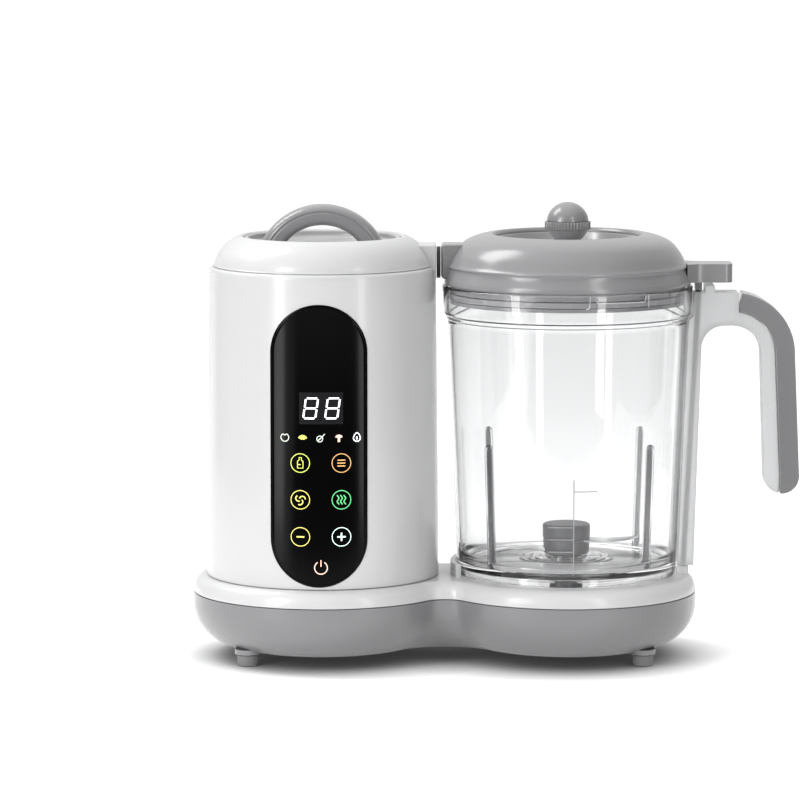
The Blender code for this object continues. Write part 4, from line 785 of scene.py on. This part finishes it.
floor_rings = [(r + dx, FLOOR_Z + dz) for r in (23.5, 19.5, 15.5)
               for dx, dz in ((1.1, 0), (0.5, 0.8), (-0.5, 0.8), (-1.1, 0))]
jug_profile = soften(
    [(64.4, JUG_TOP_Z), (COLLAR_R, JUG_TOP_Z - 0.7), (64.1, COLLAR_Z + 0.8), (63.1, COLLAR_Z),
     (62.9, COLLAR_Z - 1.6), (JUG_HEAD_R, COLLAR_Z - 2.2), (jug_radius(DECK_Z + 3), DECK_Z + 3),
     (56.6, DECK_Z + 0.4), (55, DECK_Z + 0.4), (54.6, FLOOR_Z - 2.5), (9.2, FLOOR_Z - 2.5),
     (9.2, FLOOR_Z + 0.1), (6.3, FLOOR_Z + 0.1), (6.3, FLOOR_Z + 2.5), (11.2, FLOOR_Z + 2.5), (12, FLOOR_Z)]
    + floor_rings[::-1] +
    [(51.2, FLOOR_Z), (jug_radius(FLOOR_Z + 5) - WALL, FLOOR_Z + 4.5), (JUG_HEAD_R - WALL, COLLAR_Z - 3),
     (61.6, COLLAR_Z + 1.5), (62.5, JUG_TOP_Z)],
    [0.4, 0.5, 0.5, 0.4, 0.4, 0.6, 1, 0.8, 0.3, 0.6, 0.3, 0.3, 0.2, 0.3, 0.6, 0.5] + [0.3] * 12
    + [2.5, 2.5, 2, 1, 0.4])
piece("jug_wall", [turn(jug_profile, JUG_X, 0, 256)], CLEAR, "jug", ["jug_body"], sharp=60)

# %% [markdown]
# ## Ribs in the jug
# Each rib is clear plastic with a darker bar inside, a painted shade that stands for the shade a solid rib
# gathers. The bars of the two at the back are a paler painted shade, because those ribs are seen through two
# walls.


# %% Ribs
def rib(angle, high, half_depth, half_width, sink):
    """An upright bar against the wall with a rounded top: a half-ellipse section that closes above.

    The section is (d cos s, w sin s), and both shrink by sqrt(1 - k^2) over the last 3 mm, with k
    the share of that stretch already climbed."""
    z = np.concatenate([np.linspace(FLOOR_Z + 0.6, high - 3, 14),
                        high - 3 + 3 * np.sin(np.linspace(0.2, 1.55, 7))])
    shrink = np.sqrt(np.clip(1 - np.clip((z - high + 3) / 3, 0, 1) ** 2, 0.001, 1))[:, None]
    s = np.linspace(0, 2 * np.pi, 24, endpoint=False)
    depth, across = half_depth * np.cos(s)[None, :] * shrink, half_width * np.sin(s)[None, :] * shrink
    out = (jug_radius(z) - WALL - sink)[:, None]
    direction = math.radians(angle)
    x = JUG_X + (out + depth) * math.cos(direction) - across * math.sin(direction)
    y = (out + depth) * math.sin(direction) + across * math.cos(direction)
    return grid(np.stack([x, y, z[:, None] + 0 * x], -1))


RIB_ANGLES, RIB_TOP_Z = (-138, -42, 42, 138), FLOOR_Z + 65
piece("jug_ribs", [rib(a, RIB_TOP_Z, 2.2, 2.0, 2.5) for a in RIB_ANGLES], CLEAR, "jug")
# The cores are painted shade inside the clear ribs, darker at the front and paler at the back.
piece("rib_shade_cores_front", [rib(a, RIB_TOP_Z - 0.9, 1.1, 0.55, 2.4) for a in RIB_ANGLES[:2]], RIB_SHADE, "jug")
piece("rib_shade_cores_back", [rib(a, RIB_TOP_Z - 0.9, 1.1, 0.5, 2.4) for a in RIB_ANGLES[2:]], PALE_RIB_SHADE, "jug")

# %% [markdown]
# ## Scale
# The scale is a set of thin raised strokes on the front of the jug: an upright line, short marks to
# its left for the lower levels and one to its right for the highest. It reuses the strokes of the keys
# with another surface to lie on.


# %% Scale
def on_jug(x, z, h):
    """Front-view points laid on the front of the jug, h outside its wall."""
    y = -np.sqrt((jug_radius(z) + h) ** 2 - x ** 2)
    return np.stack([x + JUG_X, y, z + 0 * x], -1)


def mark(line, width):
    """A raised line of the scale."""
    return stroke(line, width, False, 0.02, 0.22, on_jug)


SCALE_X = 1.6
marks = [mark(straight((SCALE_X, 50.5), (SCALE_X, 99.5), 30), 0.55)]
marks += [mark(straight((SCALE_X - 13.0, z), (SCALE_X, z), 8), 0.45) for z in (56.2, 62.3, 68.7, 75.0)]
marks += [mark(straight((SCALE_X, 93.5), (SCALE_X + 12.0, 93.5), 8), 0.5)]
piece("jug_scale", marks, ETCH, "jug")

# %% [markdown]
# ## Collar track
# A track moulded in the collar guides and locks the lid. It shows as fine, paler lines: a ramp, a long
# groove and a stop.


# %% Collar track
def on_collar(x, z, h):
    """Front-view points laid on the front of the jug's collar, whose radius grows 1 mm in 15.5."""
    r = COLLAR_R - (JUG_TOP_Z - z) / 15.5 + h
    return np.stack([x + JUG_X, -np.sqrt(r ** 2 - x ** 2), z + 0 * x], -1)


ramp = soften([(-4.8, JUG_TOP_Z - 0.6), (-1.6, JUG_TOP_Z - 6.4), (8.8, JUG_TOP_Z - 6.9),
               (9.2, JUG_TOP_Z - 0.6)], 1.6, closed=False)
groove = soften([(12.2, JUG_TOP_Z - 1.0), (12.6, JUG_TOP_Z - 3.9), (37.6, JUG_TOP_Z - 4.2),
                 (37.9, JUG_TOP_Z - 0.9)], 1.2, closed=False)
stop = straight((39.4, JUG_TOP_Z - 7.0), (39.4, JUG_TOP_Z - 0.8))
piece("collar_track", [stroke(line, 0.5, False, -0.05, 0.22, on_collar) for line in (ramp, groove, stop)],
      LINE, "jug")

# %% [markdown]
# ## The handle
# A strip of frosted plastic runs up the jug's side and turns into a hooked grip. The grip is split
# along its length: frosted inside, with a grey inlay on the outside of the bend. Both outlines share
# the same arcs, moved in by the inlay's thickness, so the joint between them is even.

# %% Handle
REACH, GRIP_W, INLAY, BEND_R = 120.4, 18.1, 10.0, 32.0
HANDLE_TOP_Z = JUG_TOP_Z - 3.5
GRIP_LOW_Z = HANDLE_TOP_Z - 104.9


def grip_line(inset):
    """The bend and the foot of a line at a depth inside the grip's outer face."""
    bend = arc((REACH - 2.8 - BEND_R, HANDLE_TOP_Z - BEND_R), BEND_R - inset, 82, 0, 40)
    return bend, np.array([(REACH - inset, GRIP_LOW_Z + GRIP_W / 2)])


round_end = (REACH - GRIP_W / 2, GRIP_LOW_Z + GRIP_W / 2)
split = math.degrees(math.acos((GRIP_W / 2 - INLAY) / (GRIP_W / 2)))
outer_bend, outer_foot = grip_line(0)
inner_bend, inner_foot = grip_line(INLAY)
seat_bend, seat_foot = grip_line(INLAY + 0.3)
inlay = np.vstack([outer_bend, outer_foot, arc(round_end, GRIP_W / 2, 0, -split, 24)[1:], inner_foot,
                   inner_bend[::-1]])
shift = np.array([JUG_X, 0])
piece("grip_inlay", [plate(inlay + shift, -10.2, 10.2, "y")], GRIP_GREY, "jug", ["handle_grip"],
      bevel=3.4, segments=6)

# %% [markdown]
# ## Frame of the handle
# The outline starts down the jug's own wall, runs out under the arm and round the finger space, and
# comes back up along the inlay's seat.

# %% Handle frame
arm_low = HANDLE_TOP_Z - 17.4
grip_top_x = REACH - 2.8 - GRIP_W + 0.7
inside_z = np.linspace(COLLAR_Z - 2.4, DECK_Z + 4.8, 20)
wall_line = np.vstack([[(COLLAR_R + 0.4, HANDLE_TOP_Z), (64.8, COLLAR_Z - 0.4)],
                       np.column_stack([jug_radius(inside_z) + 0.4, inside_z])])
frame_line = np.vstack([
    wall_line, [(66, DECK_Z + 4.8)], arc((81.2, arm_low - 12), 12, 180, 90, 16),
    arc((grip_top_x - 15, arm_low - 15), 15, 90, 0, 16), [(REACH - GRIP_W, round_end[1])],
    arc(round_end, GRIP_W / 2, 180, 360 - split - 2, 20)[1:], seat_foot, seat_bend[::-1],
    [(seat_bend[0][0] - 0.3, HANDLE_TOP_Z), (COLLAR_R + 11, HANDLE_TOP_Z),
     (COLLAR_R + 11, HANDLE_TOP_Z + 3.6), (COLLAR_R + 6, HANDLE_TOP_Z + 3.6), (COLLAR_R + 6, HANDLE_TOP_Z)]])
piece("handle_frame", [plate(frame_line + shift, -8, 8, "y")], FROSTED, "jug",
      ["jug_handle"], bevel=1.3, segments=4)

# %% [markdown]
# ## The blade
# A dark nylon hub carries two thin steel blades that sweep back like sickles, one low and one high.

# %% Blade set
hub_low, hub_high = span("blade_hub")
hub_z, hub_top = hub_low[2], hub_high[2]
hub_profile = soften([(0, hub_top), (11.6, hub_top), (12.5, hub_top - 0.8), (12.35, hub_z + 8.2),
                      (11.7, hub_z + 7.9), (11.7, hub_z + 7.3), (12.1, hub_z + 7), (11.8, hub_z + 0.2),
                      (9, hub_z), (9, hub_z + 4), (3.3, hub_z + 4), (3.3, hub_top - 2), (0, hub_top - 2)],
                     [0, 0.5, 0.5, 0.2, 0.1, 0.1, 0.2, 0.5, 0.4, 0.3, 0.2, 0.2, 0])
piece("blade_boss", [turn(hub_profile, JUG_X, 0, 128)], NYLON, "blade", ["blade_hub"])


def sickle(reach, root, sweep, start):
    """Plan of a blade: both edges at angle start + sweep t^2 -+ width / r, for r from root to reach."""
    t = np.linspace(0, 1, 28)
    r = root + (reach - root) * t
    half = (6.7 - 1.2) * (1 - t) ** 0.8 + 1.2
    middle = np.radians(start + sweep * t * t)
    back = np.stack([r * np.cos(middle - half / r), r * np.sin(middle - half / r)], -1)
    edge = np.stack([r * np.cos(middle + half / r), r * np.sin(middle + half / r)], -1)
    return np.vstack([back, edge[::-1]]) + [JUG_X, 0]


for node, root, reach, begin in (("blade_lower", 9.4, 37.5, 166), ("blade_upper", 8.0, 39.0, -14)):
    low, high = span(node)
    piece(node + "_steel", [plate(sickle(reach, root, 28, begin), low[2], high[2])], STEEL,
          "blade", [node], bevel=0.35)

# %% [markdown]
# ## The lid
# The lid is a broad grey dome over a slightly flared rim, with a fine step between them and a recess
# in the middle. The skirt below carries the seal inside the jug's collar.

# %% Lid
z = JUG_TOP_Z
dome = np.array([(46.2, z + 25.6), (51.2, z + 23.8), (55, z + 21.3), (58.8, z + 16.5), (61.4, z + 11.2)])
lid_profile = soften(
    [(38, z + 25.0), (39.2, z + 26.5), (41.5, z + 26.6), *dome, (62.3, z + 10.2), (62.3, z + 9.5),
     (61.5, z + 8.8), (61.8, z + 7.2), (63.9, z + 2.4), (63.9, z + 0.4),
     (61, z + 0.4), (61, z - 3.6), (58.6, z - 3.6), (58.6, z - 7), (61, z - 7), (61, z - 9), (56.4, z - 9),
     (56.4, z + 10), (56.6, z + 15.3), (53.4, z + 19.4), (50, z + 21.7), (45.5, z + 23.4), (40.2, z + 24),
     (40.2, z + 15.7), (35, z + 15.7), (35, z + 17.7), (38, z + 17.7)],
    [0.5, 0.7, 1.2, 2.2, 2.2, 2.2, 2.6, 1.2, 0.4, 0.3, 0.6, 2.0, 1.2, 0.7, 0.3, 0.3, 0.3, 0.3, 0.3, 0.4, 0.4,
     1, 2, 2, 2, 1, 0.3, 0.3, 0.3, 0.3, 0.3], 6)
piece("lid_shell", [turn(lid_profile, JUG_X, 0, 256)], GREY, "lid", ["lid_dome"])

# %% [markdown]
# ## Lug, tab and hook of the lid
# The lug at the left carries the steam, the tab at the right is what a thumb turns, and the small hook
# under it presses the safety rod once the lid is locked.

# %% Lug, tab and hook
half = math.degrees(math.asin(9 / 65.5))
lug_plan = np.vstack([arc((JUG_X, 0), 65.5, 180 - half, 180 + half, 12), [(JUG_X - 53, -9), (JUG_X - 53, 9)]])
piece("lid_lug", [plate(lug_plan, STEAM_Z - 8, STEAM_Z + 9.8)], GREY, "lid", bevel=1.0)
tab_plan = soften([(61.4, -13), (67, -10), (85.1, -10), (85.1, 10), (67, 10), (61.4, 13)],
                  [0.5, 4, 4, 4, 4, 0.5], 8)
piece("lid_tab", [plate(tab_plan + shift, z + 1.7, z + 11.3)], GREY, "lid", bevel=1.3, segments=4)
piece("lid_hook", [brick((JUG_X + 66, JUG_X + 69.6), (-4, 4), (HANDLE_TOP_Z + 0.7, z + 3))],
      GREY, "lid", bevel=0.5)

# %% [markdown]
# ## Disc, ball knob and shutter
# The recess is closed by a pale disc whose edge turns up along the recess's wall. The ball on top
# turns the shutter beneath, and a finely ribbed ring gives it grip: its radius follows a cosine with
# 44 waves round the ring.

# %% Disc and knob
disc_low, disc_high = span("lid_disc")
disc_z = disc_high[2]
disc_profile = soften([(3.3, disc_z), (14, disc_z), (14.5, disc_z - 0.4), (15.2, disc_z - 0.4),
                       (15.7, disc_z), (33.4, disc_z), (33.9, disc_z - 0.5), (34.6, disc_z - 0.5),
                       (35.1, disc_z), (36.6, disc_z + 0.4), (37.1, z + 24.2), (37.7, z + 24.2),
                       (37.7, disc_z - 2), (3.3, disc_z - 2)], 0.25)
piece("lid_plate", [turn(disc_profile, JUG_X, 0, 192)], PALE_GREY, "lid", ["lid_disc"])
BALL_R, BALL_Z = 11.0, disc_z + 11.8
upper = arc((0, BALL_Z), BALL_R, 90, 7, 26)
lower = arc((0, BALL_Z), BALL_R, -17, -62, 18)
ball_profile = np.vstack([upper, [(10.0, disc_z + 13.1), (10.0, disc_z + 8.4)], lower,
                          [(lower[-1][0] - 0.3, disc_z + 0.4), (0, disc_z + 0.4)]])
ball_profile[0, 0] = 0
piece("vent_ball", [turn(ball_profile, JUG_X, 0, 128)], GREY, "vent_knob", ["knob_ball"])
ring_low, ring_high = span("knob_ring")
ring_profile = soften([(10.3, ring_low[2]), (11.55, ring_low[2]), (11.55, ring_high[2]),
                       (10.3, ring_high[2])], 0.45)
piece("vent_grip", [turn(ring_profile, JUG_X, 0, 440, lambda angle: 0.34 * np.cos(44 * angle))],
      GREY, "vent_knob", ["knob_ring"])

# %% [markdown]
# ## Pieces that keep their CAD shape
# The works inside the housings are plain turned and boxed pieces already, so they only need finishes.


# %% Finishes for the works
def dress(nodes, material):
    """CAD nodes that keep their own shape get this finish."""
    for node in nodes:
        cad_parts[node].data.materials.clear()
        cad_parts[node].data.materials.append(material)
    print(material.name, "on", len(nodes), "nodes")


dress(["motor_can", "motor_bracket", "boiler_cup", "boiler_heater", "motor_rotor", "drive_spindle",
       "blade_shaft", "base_screw_1", "base_screw_2", "base_screw_3", "base_screw_4"], STEEL)
dress(["motor_bearing_lower", "spindle_bearing", "spindle_foot_bearing"], BRONZE)
dress(["motor_pulley", "driven_pulley", "drive_dog", "blade_dog", "blade_bush", "interlock_rod",
       "switch_plunger"], NYLON)
dress(["drive_belt"], GASKET_RUBBER)
dress(["steam_pipe", "tank_plug_seal"], SILICONE)
dress(["lid_seal"], GREY_SILICONE)
dress(["tank_plug", "vent_shutter"], GREY)
dress(["control_board"], BOARD)
dress(["display_module", "micro_switch"], BLACK)
dress(["water_tank"], FROSTED)

# %% [markdown]
# ## Floor
# The floor is one pale sheet that runs far back, so no horizon shows. Round the base it is shaded by
# how much of the sky it is shut off from, which draws the contact shadow of a product shot. Only the
# view sees that shade: light that bounces off the floor finds it evenly pale.

# %% Floor
floor_mesh = bpy.data.meshes.new("floor")
floor_mesh.from_pydata([(-30, -8, 0), (30, -8, 0), (30, 60, 0), (-30, 60, 0)], [], [(0, 1, 2, 3)])
pale = finish("pale_floor", (0.93, 0.93, 0.93), 0.9, bump=0.0, Emission_Strength=0.16)
nodes, links = pale.node_tree.nodes, pale.node_tree.links
contact, shade = nodes.new("ShaderNodeAmbientOcclusion"), nodes.new("ShaderNodeValToRGB")
contact.inputs["Distance"].default_value = 0.034
contact.samples = 12
for stop, place, tone in zip(shade.color_ramp.elements, (0.05, 0.9), (0.12, 0.94)):
    stop.position = place
    stop.color = (tone, tone, tone, 1)
path = nodes.new("ShaderNodeLightPath")
unseen = maths(pale.node_tree, "SUBTRACT", 1.0, path.outputs["Is Camera Ray"])
links.new(maths(pale.node_tree, "MAXIMUM", contact.outputs["AO"], unseen), shade.inputs["Fac"])
for socket in ("Base Color", "Emission Color"):
    links.new(shade.outputs["Color"], nodes["Principled BSDF"].inputs[socket])
floor_mesh.materials.append(pale)
floor = bpy.data.objects.new("floor", floor_mesh)
floor.location = (0, 0, -0.0002)
bpy.context.scene.collection.objects.link(floor)
print("floor of", len(floor_mesh.polygons), "face")

# %% [markdown]
# ## Sky
# The sky's strength is 0.05 + 1.55 z^2 + 0.75 max(y, 0), with (x, y, z) the direction looked in. It is
# bright overhead and behind the appliance, and dark low in front, which gives clear plastic its lines.

# %% Sky
world = bpy.data.worlds.new("soft_sky")
bpy.context.scene.world = world
world.use_nodes = True
sky_tree = world.node_tree
direction = sky_tree.nodes.new("ShaderNodeTexCoord")
split_xyz = sky_tree.nodes.new("ShaderNodeSeparateXYZ")
sky_tree.links.new(direction.outputs["Generated"], split_xyz.inputs[0])
upward, backward = split_xyz.outputs["Z"], split_xyz.outputs["Y"]
overhead = maths(sky_tree, "MULTIPLY_ADD", maths(sky_tree, "MULTIPLY", upward, upward), 1.55, 0.05)
level = maths(sky_tree, "MULTIPLY_ADD", maths(sky_tree, "MAXIMUM", backward, 0.0), 0.75, overhead)
sky = sky_tree.nodes["Background"]
sky.inputs["Color"].default_value = (1, 1, 1, 1)
sky_tree.links.new(level, sky.inputs["Strength"])
print("sky made of", len(sky_tree.nodes), "nodes")

# %% [markdown]
# ## Soft lights
# A large panel at the left front lights the white bodies, a high one puts the broad glow on the lid's
# shoulder, and two narrow strips beside the lens give its edges a sheen.


# %% Panels
def panel(name, place, aim, size, power):
    """A soft rectangular light at a place, turned towards a point."""
    light = bpy.data.lights.new(name, "AREA")
    light.shape = "RECTANGLE"
    light.size, light.size_y = size
    light.energy = power
    made = bpy.data.objects.new(name, light)
    made.location = place
    aim_line = np.array(aim) - np.array(place)
    yaw = math.atan2(aim_line[1], aim_line[0])
    tilt = math.atan2(aim_line[2], math.hypot(aim_line[0], aim_line[1]))
    made.rotation_euler = (math.pi / 2 + tilt, 0, yaw - math.pi / 2)
    bpy.context.scene.collection.objects.link(made)


panel("key_panel", (-1.15, -1.3, 0.8), (-0.06, 0, 0.12), (0.6, 0.9), 9.0)
panel("upper_left_panel", (-0.74, 0.20, 1.08), (0.03, 0, 0.2), (0.46, 0.62), 7)
panel("left_strip", (-0.45, -0.42, 0.26), (-0.09, 0, 0.12), (0.10, 0.52), 1.3)
panel("right_strip", (0.26, -0.435, 0.26), (-0.09, 0, 0.12), (0.07, 0.52), 0.8)

# %% [markdown]
# ## Dark cards and mat
# Round white and clear bodies need something dark to mirror, or their edges melt into the pale
# floor. Two upright cards stand at the sides and a mat lies in front. They are hidden from the
# camera, which sees them in reflections. The floor under the mat is still in its shade, and that
# shows as a dark wedge in a view from behind.

# %% Dark cards and mat
CLOTH_TONE = 0.05


def unseen_stage(name, corners, tone):
    """A flat dark polygon that only reflections show."""
    mesh = bpy.data.meshes.new(name)
    mesh.from_pydata(corners, [], [(0, 1, 2, 3)])
    mesh.materials.append(finish(name + "_cloth", (tone, tone, tone), 0.9, bump=0.0))
    made = bpy.data.objects.new(name, mesh)
    made.visible_camera = False
    bpy.context.scene.collection.objects.link(made)
    return made


def card(name, x, y, height, turn_by):
    """A dark upright card outside the view, 0.9 m wide, turned about its middle."""
    corners = [(-0.45, 0, 0), (0.45, 0, 0), (0.45, 0, height), (-0.45, 0, height)]
    made = unseen_stage(name, corners, CLOTH_TONE)
    made.location = (x, y, 0)
    made.rotation_euler = (0, 0, math.radians(turn_by))
    print(name, "at", x, y)


unseen_stage("dark_mat", [(-0.34, -0.42, 0.001), (0.50, -0.42, 0.001), (1.2, -1.9, 0.001),
                          (-1.0, -1.9, 0.001)], 0.03)
card("right_card", 0.60, -0.22, 0.40, 66)
card("left_card", -0.62, 0.10, 0.40, 100)
